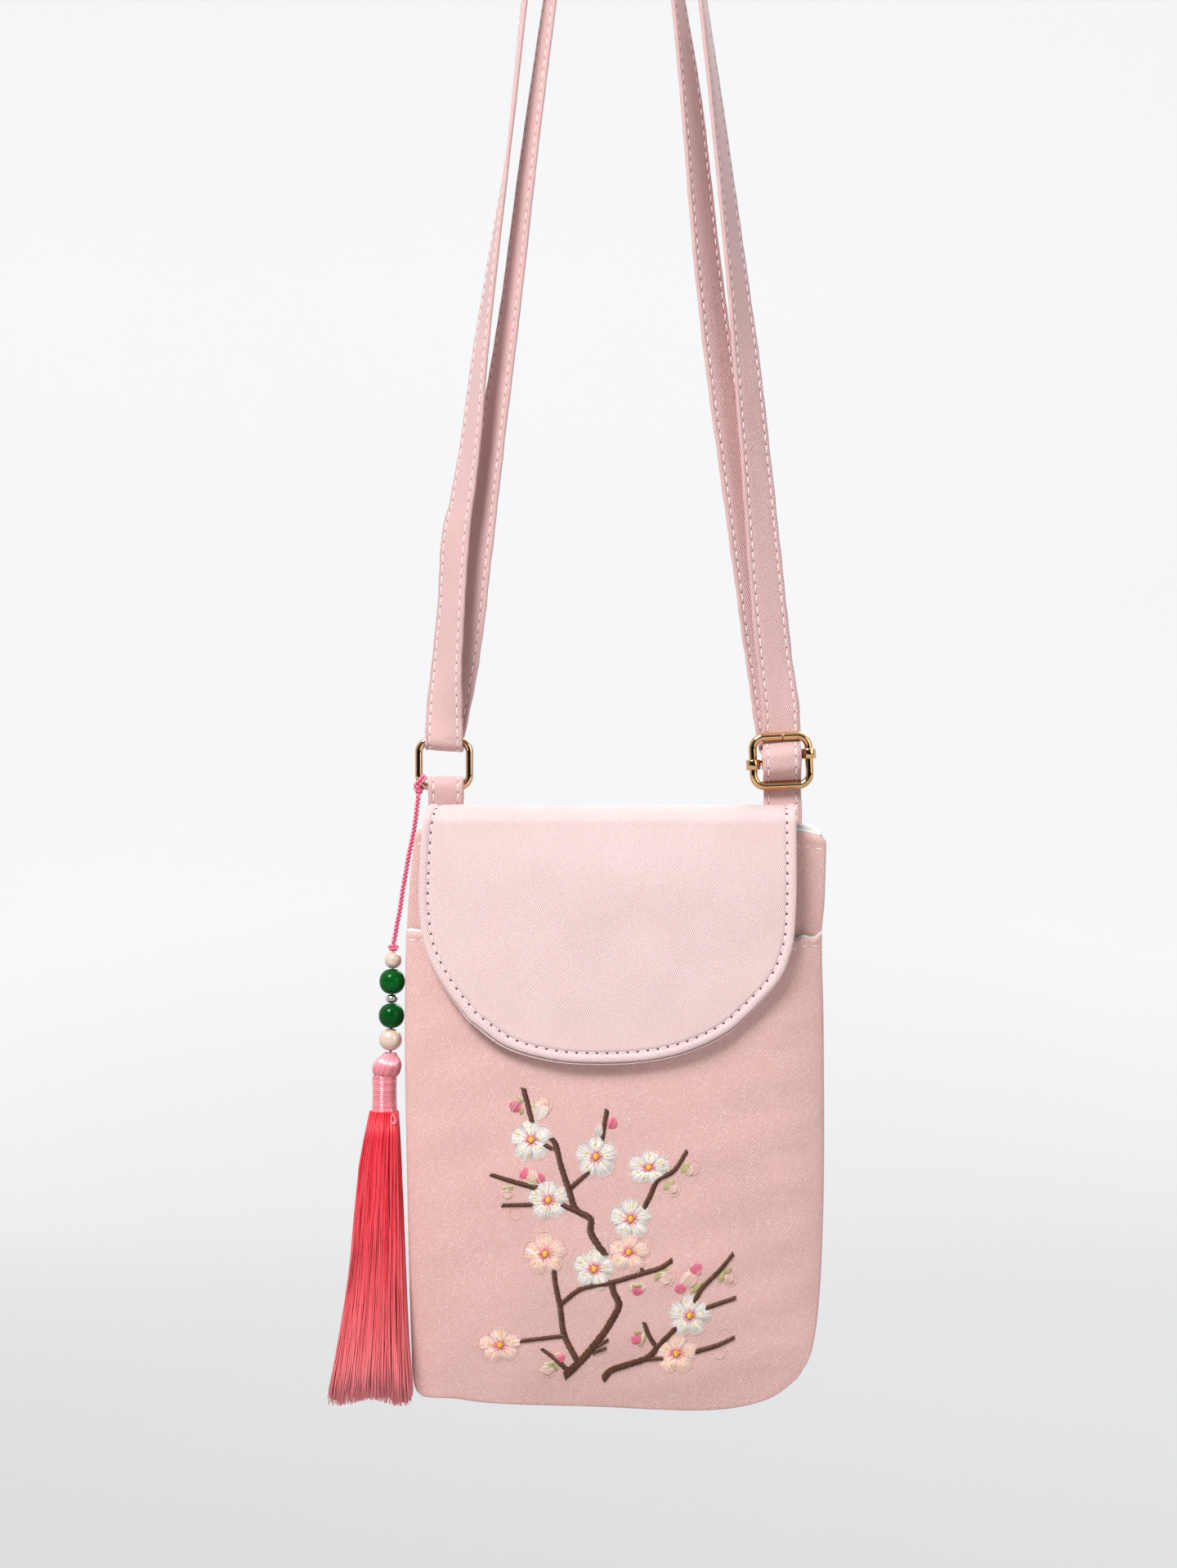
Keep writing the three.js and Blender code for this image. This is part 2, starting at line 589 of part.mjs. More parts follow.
// Strap and tab: stations are smoothed, then a flat section is carried along them.
function ribbon(rows, width) {
  const path = smooth(rows.map((row) => vector(row.x, row.y, row.z)));
  const total = (rows.length - 1) * STRAP_STEPS;
  const sections = [];
  for (let s = 0; s <= total; s += 1) {
    const index = Math.min(Math.floor(s / STRAP_STEPS), rows.length - 2);
    const part = s / STRAP_STEPS - index;
    const [from, to] = [rows[index], rows[index + 1]];
    const blend = (key) => THREE.MathUtils.degToRad(THREE.MathUtils.lerp(from[key], to[key], part));
    const centre = path.getPoint(s / total);
    const tangent = path.getTangent(s / total);
    const [turn, lean] = [blend("turn"), blend("lean")];
    const edge = vector(Math.cos(turn) * Math.cos(lean), Math.sin(turn) * Math.cos(lean), Math.sin(lean));
    edge.addScaledVector(tangent, -edge.dot(tangent)).setLength(width / 2);
    const face = edge.clone().cross(tangent).setLength(STRAP_THICK / 2);
    const corner = (a, b) => centre.clone().addScaledVector(edge, a).addScaledVector(face, b);
    sections.push([corner(-1, -1), corner(-1, 1), corner(1, 1), corner(1, -1)]);
  }
  return sweep(sections);
}
function arc(centre, radius, from, to, steps, row) {
  const rows = [];
  for (let k = 0; k <= steps; k += 1) {
    const angle = THREE.MathUtils.degToRad(THREE.MathUtils.lerp(from, to, k / steps));
    rows.push(row(centre, radius * Math.cos(angle), radius * Math.sin(angle)));
  }
  return rows;
}
const overHook = (centre, over, up) => ({
  x: centre.x + over,
  y: centre.y,
  z: centre.z + up,
  turn: 90,
  lean: 0,
});
const hook = { x: 0, y: 0, z: INNER_LOOP.centreZ };
const innerLoop = arc(hook, INNER_LOOP.radius, INNER_LOOP.from, INNER_LOOP.to, INNER_LOOP.steps, overHook);
const outerLoop = OUTER_LOOP.map((row) => ({ ...row, y: 0, lean: 0 }));
const aroundWire = (turn) => (centre, over, up) => ({
  x: centre.x,
  y: centre.y + over,
  z: centre.z + up,
  turn,
  lean: 0,
});
const ringTop = { x: RING.x, y: RING.y, z: RING.z + RING.height / 2 };
const ringBottom = { x: TAB_FRONT.at(-1).x, y: RING.y, z: RING.z - RING.height / 2 };
const ringWrap = arc(ringTop, RING_WRAP, 0, -180, WRAP_STEPS, aroundWire(180));
const tabWrap = arc(ringBottom, TAB_WRAP, 180, 0, WRAP_STEPS, aroundWire(0));
const strapRows = [
  ...SLIDER_TAIL,
  ...RISE_INNER_RIGHT,
  ...innerLoop,
  ...FALL_INNER_LEFT,
  ...ringWrap,
  ...RISE_OUTER_LEFT,
  ...outerLoop,
  ...FALL_OUTER_RIGHT,
  ...SLIDER_PASS,
];
place("strap", ribbon(strapRows, STRAP_WIDTH), LOOK.strap);
place("strap_tab", ribbon([...TAB_FRONT, ...tabWrap, ...TAB_BACK], TAB_WIDTH), LOOK.strap);

// Ring, slider frame and its loose bar.
function wireFrame(frame, radius) {
  const path = new THREE.CurvePath();
  const [w, h, c] = [frame.width / 2, frame.height / 2, frame.corner];
  const bend = c * ROUND_HANDLE;
  for (const [sx, sz] of [[1, 1], [-1, 1], [-1, -1], [1, -1]]) {
    const rising = sx * sz > 0;
    const onSide = vector(sx * w, 0, sz * (h - c));
    const onTop = vector(sx * (w - c), 0, sz * h);
    const sideHandle = vector(sx * w, 0, sz * (h - c + bend));
    const topHandle = vector(sx * (w - c + bend), 0, sz * h);
    if (rising) {
      path.add(new THREE.CubicBezierCurve3(onSide, sideHandle, topHandle, onTop));
      path.add(new THREE.LineCurve3(onTop, vector(-onTop.x, 0, onTop.z)));
    } else {
      path.add(new THREE.CubicBezierCurve3(onTop, topHandle, sideHandle, onSide));
      path.add(new THREE.LineCurve3(onSide, vector(onSide.x, 0, -onSide.z)));
    }
  }
  const tube = new THREE.TubeGeometry(path, WIRE_STEPS, radius, WIRE_SIDES, true);
  tube.rotateY(-THREE.MathUtils.degToRad(frame.tilt));
  tube.translate(frame.x, frame.y, frame.z);
  const bare = indexed(Array.from(tube.attributes.position.array), Array.from(tube.index.array));
  return mergeVertices(bare, WIRE_WELD);
}
place("strap_ring", wireFrame(RING, WIRE_RADIUS), LOOK.gold);
place("slider_frame", wireFrame(SLIDER, WIRE_RADIUS), LOOK.gold);

function sliderBar() {
  const flat = new THREE.BoxGeometry(BAR.length, BAR.depth, BAR.height);
  flat.rotateY(-THREE.MathUtils.degToRad(BAR.tilt));
  flat.translate(SLIDER.x, SLIDER.y, BAR.z);
  const curls = [];
  const wires = [];
  for (const side of [-1, 1]) {
    for (const [list, radius, height] of [
      [curls, BAR_CURL.outer, BAR_CURL.height],
      [wires, BAR_CURL.inner, SLIDER.height],
    ]) {
      const curl = new THREE.CylinderGeometry(radius, radius, height, BAR_CURL.sides);
      curl.rotateX(Math.PI / 2);
      curl.translate((side * SLIDER.width) / 2, 0, BAR.z - SLIDER.z + side * BAR_CURL.lift);
      curl.rotateY(-THREE.MathUtils.degToRad(SLIDER.tilt));
      curl.translate(SLIDER.x, SLIDER.y, SLIDER.z);
      list.push(curl);
    }
  }
  return fromSolid(joined([flat, ...curls]).subtract(joined(wires)));
}
place("slider_bar", sliderBar(), LOOK.gold);

// Charm hitch and cord.
function hitch() {
  const angle = THREE.MathUtils.degToRad(HITCH.angle);
  const corner = vector(-RING.width / 2 + RING.corner, 0, -RING.height / 2 + RING.corner);
  const away = vector(Math.cos(angle), 0, Math.sin(angle));
  const onWire = corner.addScaledVector(away, RING.corner).add(vector(RING.x, RING.y, RING.z));
  const wireWay = vector(-away.z, 0, away.x);
  const parts = [-1, 1].map((side) => {
    const loop = new THREE.TorusGeometry(HITCH.loop, HITCH.tube, HITCH_SIDES, HITCH_STEPS);
    loop.lookAt(wireWay);
    const spot = onWire.clone().addScaledVector(wireWay, side * HITCH.shift);
    return loop.translate(spot.x, spot.y, spot.z);
  });
  const lump = new THREE.SphereGeometry(HITCH.lump, HITCH_STEPS, HITCH_SIDES);
  lump.translate(HITCH_LUMP.x, HITCH_LUMP.y, HITCH_LUMP.z);
  const wire = solid(wireFrame(RING, WIRE_RADIUS + HITCH.clear));
  return fromSolid(joined([...parts, lump]).subtract(wire));
}
place("charm_hitch", hitch(), LOOK.cord);

function round(radius, sides) {
  const shape = new THREE.Shape();
  shape.absarc(0, 0, radius, 0, 2 * Math.PI);
  return new THREE.Shape(shape.getSpacedPoints(sides).slice(0, sides));
}
function cordAlong(points, radius, steps) {
  const extrudePath = smooth(points.map((row) => vector(row.x, row.y, row.z)));
  return new THREE.ExtrudeGeometry(round(radius, CORD_SIDES), { steps, extrudePath, bevelEnabled: false });
}
place("charm_cord", cordAlong(CORD_PATH, CORD_RADIUS, CORD_STEPS), LOOK.cord);

// Beads are drilled and hang one under the other; the thread runs through their bores down to the knob.
function bead(row) {
  const half = row.height / 2;
  const profile = [];
  const start = Math.asin(BORE_RADIUS / row.radius);
  for (let k = 0; k <= BEAD_ROWS; k += 1) {
    const angle = THREE.MathUtils.lerp(-Math.PI / 2 + start, Math.PI / 2 - start, k / BEAD_ROWS);
    profile.push(new THREE.Vector2(row.radius * Math.cos(angle), half * Math.sin(angle)));
  }
  profile.push(profile[0].clone());
  return new THREE.LatheGeometry(profile, BEAD_SIDES).rotateX(Math.PI / 2);
}
const looks = { pearl: LOOK.pearl, green: LOOK.green, spacer: LOOK.silver };
let stringZ = STRING_TOP;
for (const row of BEADS) {
  const geometry = bead(row).translate(row.x, row.y, stringZ - row.height / 2);
  place(row.name, geometry, looks[row.name.split("_")[0]]);
  stringZ -= row.height + GAP;
}
const threadEnd = { x: BEADS.at(-1).x, y: BEADS.at(-1).y, z: stringZ };
const threadStart = { x: BEADS[0].x, y: BEADS[0].y, z: STOP_KNOT.z };
const knotLumps = [-1, 1].map((side) => {
  const lump = new THREE.SphereGeometry(STOP_KNOT.radius, STOP_KNOT.sides, STOP_KNOT.rows);
  return lump.translate(STOP_KNOT.x + side * STOP_KNOT.spread, STOP_KNOT.y, STOP_KNOT.z);
});
const beadThread = cordAlong([threadStart, threadEnd], THREAD_RADIUS, THREAD_STEPS);
place("bead_thread", fromSolid(joined([beadThread, ...knotLumps])), LOOK.cord);

// Tassel: a turned knob, a bound neck and a skirt of locks joined at the top.
function turned(profile, axis, top) {
  const points = profile.map((row) => new THREE.Vector2(row.radius, row.z));
  return new THREE.LatheGeometry(points, TASSEL_SIDES).rotateX(Math.PI / 2).translate(axis.x, axis.y, top);
}
const knobProfile = [];
for (let k = 0; k <= KNOB.rows; k += 1) {
  const angle = THREE.MathUtils.lerp(-Math.PI / 2, Math.PI / 2, k / KNOB.rows);
  const radius = KNOB.radius * Math.max(Math.cos(angle), 0);
  knobProfile.push({ radius, z: (KNOB.height / 2) * Math.sin(angle) });
}
const knobTop = stringZ - KNOB.clear;
place("tassel_knob", turned(knobProfile, KNOB, knobTop - KNOB.height / 2), LOOK.bound);
const neckTop = knobTop - KNOB.height - GAP;
place("tassel_neck", turned(NECK_SHAPE, NECK, neckTop), LOOK.bound);

function oval(x, y, z, wide, deep, start, sides) {
  const section = [];
  for (let k = 0; k < sides; k += 1) {
    const turn = start + (2 * Math.PI * k) / sides;
    section.push(vector(x + wide * Math.cos(turn), y + deep * Math.sin(turn), z));
  }
  return section.reverse();
}
function lockSection(row, z, angle) {
  const share = 1 - LOCK.spread;
  const x = row.x + share * row.wide * Math.cos(angle);
  const y = row.y + share * row.deep * Math.sin(angle);
  const thick = LOCK.spread * row.wide;
  return oval(x, y, z, thick, thick, angle, LOCK.sides);
}
function skirt() {
  const last = SKIRT.at(-1);
  const core = SKIRT.map((row) => {
    return oval(row.x, row.y, row.z, SKIRT_CORE * row.wide, SKIRT_CORE * row.deep, 0, TASSEL_SIDES);
  });
  const locks = [];
  for (let n = 0; n < LOCK.count; n += 1) {
    const angle = (2 * Math.PI * (n + LOCK.offset)) / LOCK.count;
    const uneven = Math.abs(Math.sin(LOCK_WAVE.step * n + LOCK_WAVE.start));
    const length = THREE.MathUtils.lerp(LOCK.shortest, 1, uneven);
    const tip = THREE.MathUtils.lerp(SKIRT.at(-2).z, last.z - LOCK.below, length);
    const sections = SKIRT.map((row) => lockSection(row, row === last ? tip : row.z, angle));
    locks.push(sweep(sections));
  }
  return fromSolid(joined([sweep(core), ...locks]));
}
place("tassel_skirt", skirt(), LOOK.tassel);

export default group;
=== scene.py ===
"""Embroidered shoulder bag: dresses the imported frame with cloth, thread, metal, beads and a tassel."""
import math
from collections import namedtuple

import bmesh
import bpy
import numpy as np
from bpy.props import FloatProperty, FloatVectorProperty, IntProperty, PointerProperty
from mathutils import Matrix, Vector
from mathutils.bvhtree import BVHTree


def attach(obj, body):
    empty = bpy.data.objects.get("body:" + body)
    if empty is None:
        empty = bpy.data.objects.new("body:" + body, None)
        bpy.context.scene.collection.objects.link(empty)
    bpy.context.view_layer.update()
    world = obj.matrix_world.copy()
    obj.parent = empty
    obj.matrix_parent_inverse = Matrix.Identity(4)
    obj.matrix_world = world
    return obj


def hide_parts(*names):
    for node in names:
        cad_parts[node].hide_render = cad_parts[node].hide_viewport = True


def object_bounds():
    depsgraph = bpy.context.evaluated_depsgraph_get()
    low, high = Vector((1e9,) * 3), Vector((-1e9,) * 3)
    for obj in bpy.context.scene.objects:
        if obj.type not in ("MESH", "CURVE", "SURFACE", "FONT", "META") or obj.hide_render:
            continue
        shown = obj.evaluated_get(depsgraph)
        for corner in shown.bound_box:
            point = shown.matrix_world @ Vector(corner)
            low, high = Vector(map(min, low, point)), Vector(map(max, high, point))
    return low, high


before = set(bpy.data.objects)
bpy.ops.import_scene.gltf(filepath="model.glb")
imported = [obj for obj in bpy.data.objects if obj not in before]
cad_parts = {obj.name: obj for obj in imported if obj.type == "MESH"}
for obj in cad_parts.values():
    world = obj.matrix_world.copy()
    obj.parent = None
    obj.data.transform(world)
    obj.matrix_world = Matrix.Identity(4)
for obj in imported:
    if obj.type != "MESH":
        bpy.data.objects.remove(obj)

CAD_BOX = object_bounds()

bl_info = {
    "name": "Embroidered shoulder bag",
    "version": (1, 0, 0),
    "blender": (4, 5, 0),
    "location": "View3D > Sidebar > Bag",
    "description": "Cloth, stitches, embroidery, hardware and charm of a small shoulder bag",
    "category": "Object",
}

# The tables below are in millimetres, in the frame's own directions: x right, -y front, z up.
MM = 0.001

# Pouch plan: seams from base to mouth (x, z), mouth (x, front z, back z), wall depth by height share.
LEFT_SEAM = [(-63.2, -530.3), (-64.3, -527.3), (-65.0, -514.2), (-66.3, -464.2), (-67.1, -411.5),
             (-66.5, -380.0), (-65.6, -366.0), (-63.9, -350.0)]
BASE_SEAM = [(-63.2, -530.3), (-61.2, -531.8), (-51.1, -532.6), (-39.7, -534.0), (-5.4, -535.2),
             (27.5, -536.4), (40.3, -535.3), (51.1, -532.1), (58.8, -526.4)]
RIGHT_SEAM = [(58.8, -526.4), (62.5, -520.4), (64.4, -514.0), (66.2, -499.0), (67.5, -468.0),
              (67.5, -411.5), (67.0, -383.8), (67.9, -374.0), (68.6, -352.4)]
MOUTH = [(-63.9, -350.0, -350.0), (-56.0, -349.9, -348.9), (0.0, -350.4, -349.0),
         (58.0, -350.3, -348.6), (64.0, -351.2, -349.4), (68.6, -352.4, -352.4)]
SPAN_LEFT = -67.1
SPAN_WIDTH = 134.6
SEAM_HALF = 1.8
BULGE = [(0.0, 0.0, 0.0, 0.0), (0.06, 1.7, 2.4, 1.0), (0.18, 3.2, 4.5, 2.8), (0.4, 4.0, 5.8, 4.5),
         (0.62, 4.1, 6.0, 5.0), (0.82, 4.0, 5.7, 5.1), (1.0, 4.0, 5.4, 5.2)]
ACROSS_POWER = 2.6
ACROSS_EASE = 0.7
LINING_HALF = 0.5
# The lining's rim: distance inward from the wall's face, least room to the middle, and its radius.
RIM_INWARD = 2.3
RIM_ROOM = 0.25
RIM_RADIUS = 0.62
LINING_EDGE = 3.4
LINING_INWARD = 2.4
LINING_RISE = 0.8
POCKET_TOP = [(-66.5, -381.6), (-30.0, -383.6), (20.0, -385.2), (58.0, -384.4), (61.0, -383.6),
              (63.5, -384.0), (67.1, -382.2)]
# Hems: a swell and a sewn groove (height, distance from the edge, spread), and the stitches' distance.
MOUTH_HEM = ((0.35, 2.0, 1.6), (0.4, 4.3, 0.7))
MOUTH_STITCH = 4.3
POCKET_HEM = ((0.3, 1.6, 1.3), (0.4, 3.0, 0.6))
POCKET_STITCH = 3.4
POCKET_HEIGHT = 152.0
POCKET_DROP = 0.6
POCKET_EASE = 10.0
POCKET_GAP = 0.45
POCKET_WALL = 1.5
# White strip of the pocket's lining: start below the edge, full height, half thickness and rolled edge.
STRIP_START = 6.0
STRIP_HEIGHT = 6.3
STRIP_HALF = 0.16
STRIP_ROLL = 0.4

# Flap laid flat: outline (x, fall), with fall zero on the fold's top line; hang (z, middle y, side y).
FLAP_LEFT = [(-46.2, -72.9), (-54.5, -61.8), (-60.2, -49.9), (-62.0, -38.3), (-62.1, -30.3),
             (-61.0, -11.3), (-58.8, 2.0), (-57.0, 34.0)]
FLAP_BOTTOM = [(-46.2, -72.9), (-34.6, -81.2), (-20.0, -85.5), (-5.5, -86.6), (11.0, -85.7),
               (24.0, -82.7), (36.3, -76.7), (44.6, -69.5)]
FLAP_RIGHT = [(44.6, -69.5), (53.0, -59.7), (56.8, -49.9), (58.0, -38.3), (58.2, -10.3),
              (58.2, 2.0), (57.0, 34.0)]
FLAP_HANG = [(-348.0, -10.3, -8.9), (-362.0, -12.4, -9.4), (-384.0, -13.5, -9.9),
             (-405.0, -13.9, -10.6), (-426.0, -14.2, -11.4)]
FLAP_HALF = 61.0
FOLD_HEIGHT = -347.8
FOLD_RISE = 3.55
FOLD_LENGTH = 21.5
ROOT_LEVEL = 0.86
ROOT_GAP = 0.6
FLAP_HUB = (-2.0, -43.0)
FLAP_ROOT = 34.0
FACING_WALL = 1.1
COVER_GROW = -0.3
COVER_ROLL = 0.5
FACING_GROW = 0.5
FACING_ROLL = 0.4
FACING_CURL = 1.25
FLAP_SWELL = (0.3, 1.25, 1.1)
FLAP_GROOVE = (0.45, 3.0, 0.55)
FLAP_STITCH = 3.0
COVER_START = 1.4
COVER_TOP = 2.6

# Strap and tab: widths, steps and half thickness.
STRAP_WIDTH = 12.5
TAB_WIDTH = 11.4
STRAP_STEPS = 14
SEAM_STEPS = 16
# Groove under a row of strap stitches: distance from the row and half thickness.
STRAP_GROOVE = [(0.75, 0.68), (0.35, 0.56), (0.0, 0.46), (-0.4, 0.56), (-1.0, 0.67)]
STRAP_HALF = 0.7
# Strap stations: x, y, z, turn (heading of one edge in the plan) and lean (its tilt), in degrees.
SLIDER_TAIL = [(51.6, 14.5, -309.0, 3, 2), (52.6, 14.3, -315.5, 1, 2), (53.4, 14.1, -319.5, 0, 3),
               (54.4, 13.1, -323.4, 0, 6), (54.7, 11.0, -325.6, 0, 9), (54.7, 9.75, -327.0, 0, 9),
               (54.7, 9.55, -328.6, 0, 9), (54.7, 8.0, -329.5, 0, 9), (54.7, 6.55, -328.6, 0, 9),
               (54.7, 6.3, -327.2, 0, 9), (54.7, 6.4, -325.8, 0, 9), (54.6, 7.35, -324.95, 0, 8),
               (54.3, 9.3, -324.05, 0, 7), (53.6, 11.45, -322.5, 0, 5), (53.0, 12.3, -319.4, 0, 3)]
RISE_INNER_RIGHT = [(51.9, 12.4, -310.5, 2, 1), (49.2, 11.9, -293.7, 8, 0), (45.2, 9.8, -267.2, 18, 0),
                    (39.8, 7.8, -232.2, 29, 0), (34.4, 5.9, -197.2, 38, 0), (30.0, 4.1, -162.0, 45, 0),
                    (25.1, 1.8, -114.0, 56, 0), (20.9, 0.6, -82.1, 69, 0), (15.0, 0.0, -42.0, 84, 0)]
FALL_INNER_LEFT = [(-15.0, 0.0, -42.0, 96, 0), (-20.5, 0.6, -82.1, 109, 0), (-27.1, 2.7, -130.0, 115, 0),
                   (-33.1, 5.4, -178.0, 121, 0), (-39.5, 7.9, -222.4, 134, 0), (-45.4, 10.2, -264.5, 151, 0),
                   (-49.0, 11.8, -290.0, 165, 0), (-52.4, 12.9, -308.0, 176, 0)]
RISE_OUTER_LEFT = [(-55.0, 8.3, -313.0, 166, 0), (-54.4, 7.8, -300.0, 146, 0), (-52.8, 7.1, -279.0, 136, 0),
                   (-51.0, 6.1, -253.0, 138, 0), (-49.2, 5.8, -243.5, 129, 0), (-46.1, 5.0, -222.7, 122, 0),
                   (-43.3, 4.1, -197.4, 114, 0), (-38.5, 2.9, -162.2, 103, 0), (-33.9, 1.7, -130.2, 93, 0),
                   (-28.7, 0.4, -82.1, 97, 0), (-23.6, 0.0, -40.0, 92, 0)]
FALL_OUTER_RIGHT = [(23.6, 0.0, -40.0, 86, 0), (28.8, 0.4, -82.1, 78, 0), (33.0, 1.2, -114.1, 70, 0),
                    (37.0, 2.4, -146.2, 62, 0), (40.9, 3.7, -178.3, 53, 0), (43.0, 4.4, -197.4, 44, 0),
                    (46.5, 5.9, -232.4, 36, 0), (49.7, 7.4, -267.4, 24, 0), (52.4, 9.0, -293.9, 18, 0),
                    (54.6, 9.9, -311.0, 8, 1)]
SLIDER_PASS = [(54.9, 10.25, -319.2, 0, 2.5), (54.8, 9.65, -321.3, 0, 4), (54.7, 8.0, -322.45, 0, 6),
               (54.7, 6.0, -323.65, 0, 8), (54.7, 4.7, -325.6, 0, 9), (54.7, 4.6, -327.7, 0, 9),
               (54.8, 5.1, -330.2, 0, 7), (54.9, 7.2, -332.4, 0, 4), (55.0, 9.6, -334.0, 0, 3),
               (55.1, 10.3, -335.8, 0, 2.5), (55.2, 10.5, -339.5, 0, 0), (55.2, 10.0, -345.0, 0, 0),
               (55.3, 9.6, -351.0, 0, 0), (55.4, 9.6, -366.0, 0, 0)]
Loop = namedtuple("Loop", "radius z first last steps")
INNER_LOOP = Loop(10.7, -10.0, 12.0, 168.0, 6)
OUTER_LOOP = [(-21.2, 0, -19.0, 90, 0), (-16.6, 0, -6.4, 90, 0), (-9.2, 0, 0.9, 90, 0), (0.0, 0, 2.45, 90, 0),
              (9.2, 0, 0.9, 90, 0), (16.6, 0, -6.4, 90, 0), (21.2, 0, -19.0, 90, 0)]
TAB_FRONT = [(-54.4, 9.55, -366.0, 0, 0), (-54.5, 9.55, -350.0, 0, 0), (-54.5, 8.9, -343.0, 0, 0)]
TAB_BACK = [(-54.5, 12.4, -342.0, 0, 0), (-54.5, 11.25, -350.0, 0, 0), (-54.4, 11.25, -366.0, 0, 0)]
RING_WRAP = 2.75
TAB_WRAP = 2.78
WRAP_STEPS = 6
FOLD_LEAN = 4.0

# Wire frames: x, y, z of the middle, width, height, corner radius and tilt; the loose bar and its curls.
WIRE_RADIUS = 1.3
Wire = namedtuple("Wire", "x y z width height corner tilt")
RING = Wire(-55.1, 10.8, -328.4, 16.5, 15.0, 3.7, 0.0)
SLIDER = Wire(54.6, 8.0, -327.6, 18.2, 16.1, 3.8, 2.5)
Bar = namedtuple("Bar", "z length depth height corner tilt")
BAR = Bar(-327.0, 15.6, 1.2, 2.0, 0.35, 9.0)
Curl = namedtuple("Curl", "outer inner height lift soft nick")
CURL = Curl(2.35, 1.42, 3.3, 1.45, 0.3, 0.09)
WIRE_SIDES = 22
# Where the slider's wire ends meet: length shares of the last points, and their share of the wire's radius.
BUTT_SHARES = np.array([0.0006, 0.0012, 0.003, 0.006])
BUTT_TAPER = np.array([0.6, 0.86, 0.97, 1.0])

# Charm: cord route, hitch, stop knot, beads and tassel.
CORD_PATH = [(-63.6, 10.5, -339.2), (-64.0, 10.0, -342.4), (-64.3, 9.5, -345.5), (-64.7, 8.9, -348.7),
             (-65.2, 8.2, -351.8), (-65.8, 7.3, -354.9), (-66.4, 6.5, -357.9), (-66.9, 5.7, -361.0),
             (-67.4, 5.0, -364.2), (-67.9, 4.5, -367.3), (-68.4, 3.9, -370.5), (-68.8, 3.4, -373.6),
             (-69.3, 2.9, -376.8), (-69.9, 2.4, -379.9), (-70.4, 1.9, -383.1), (-71.0, 1.4, -386.2)]
CORD_DIAMETER = 2.0
HITCH_LUMP = (-63.6, 10.5, -336.2)
HITCH_ANGLE = 212.0
HITCH_HEADING = 233.0
STOP_KNOT = (-71.1, 1.2, -388.0)
Bead = namedtuple("Bead", "node x y radius height kind")
BEADS = [
    Bead("pearl_bead_upper", -71.1, 1.1, 2.7, 5.2, "pearl"),
    Bead("green_bead_upper", -71.4, 1.0, 4.0, 8.0, "green"),
    Bead("spacer_bead", -71.5, 0.9, 1.9, 2.5, "silver"),
    Bead("green_bead_lower", -71.6, 0.8, 4.0, 7.8, "green"),
    Bead("pearl_bead_lower", -71.9, 0.7, 3.6, 7.0, "pearl"),
]
BEAD_SLOTS = {"pearl": "pearl", "green": "green_bead", "silver": "silver"}
BEAD_GAP = 0.3
BEAD_PLUMP = {"pearl": 0.93, "green": 0.86, "silver": 0.75}
BEAD_SWELL = 1.04
BORE_RADIUS = 0.85
NECK_TURNS = 27
STRING_TOP = -389.3
STRING_LOW = STRING_TOP - sum(bead.height + BEAD_GAP for bead in BEADS)
Knob = namedtuple("Knob", "x y radius height gap")
KNOB = Knob(-73.3, 0.4, 4.5, 7.3, 0.5)
NECK = (-73.8, 0.2)
# Shapes of the neck (radius, height) and the knob (height share, girth share).
NECK_SHAPE = [(3.7, 0.0), (3.95, -1.2), (3.9, -4.0), (3.95, -9.0), (4.2, -12.3)]
KNOB_SHAPE = [(0.0, 0.8), (0.1, 0.92), (0.25, 1.0), (0.4, 1.02), (0.58, 0.95), (0.74, 0.78), (0.88, 0.55),
              (1.0, 0.42)]
THREAD_LOOP = [(2.2, -3.2, -10.6), (2.9, -3.5, -12.6), (3.7, -3.4, -14.4), (3.3, -3.9, -15.6),
               (2.4, -4.2, -14.6), (2.5, -4.0, -12.8)]
# Skirt: z, middle x, middle y, half width, half depth.
SKIRT = [(-441.4, -73.9, 0.0, 4.4, 4.2), (-454.4, -74.9, -1.0, 6.4, 5.6), (-470.5, -75.3, -2.6, 7.6, 6.4),
         (-486.6, -75.6, -4.4, 8.6, 7.0), (-503.0, -76.2, -6.2, 9.9, 7.4), (-519.0, -77.0, -8.0, 11.8, 7.6),
         (-531.0, -77.6, -9.2, 13.2, 7.6)]
SKIRT_TOP = SKIRT[0][0]
# The skirt's core is a share of its girth and stops above the strand ends, which lie between two heights.
CORE_SHARE = 0.72
CORE_LOW = -519.0
STRAND_LOW = -531.5
STRAND_LOWEST = -532.8
STRAND_UNEVEN = 5.5
STRAND_POINTS = 11
STRAND_SIDES = 3
GOLDEN_SHARE = 0.618034

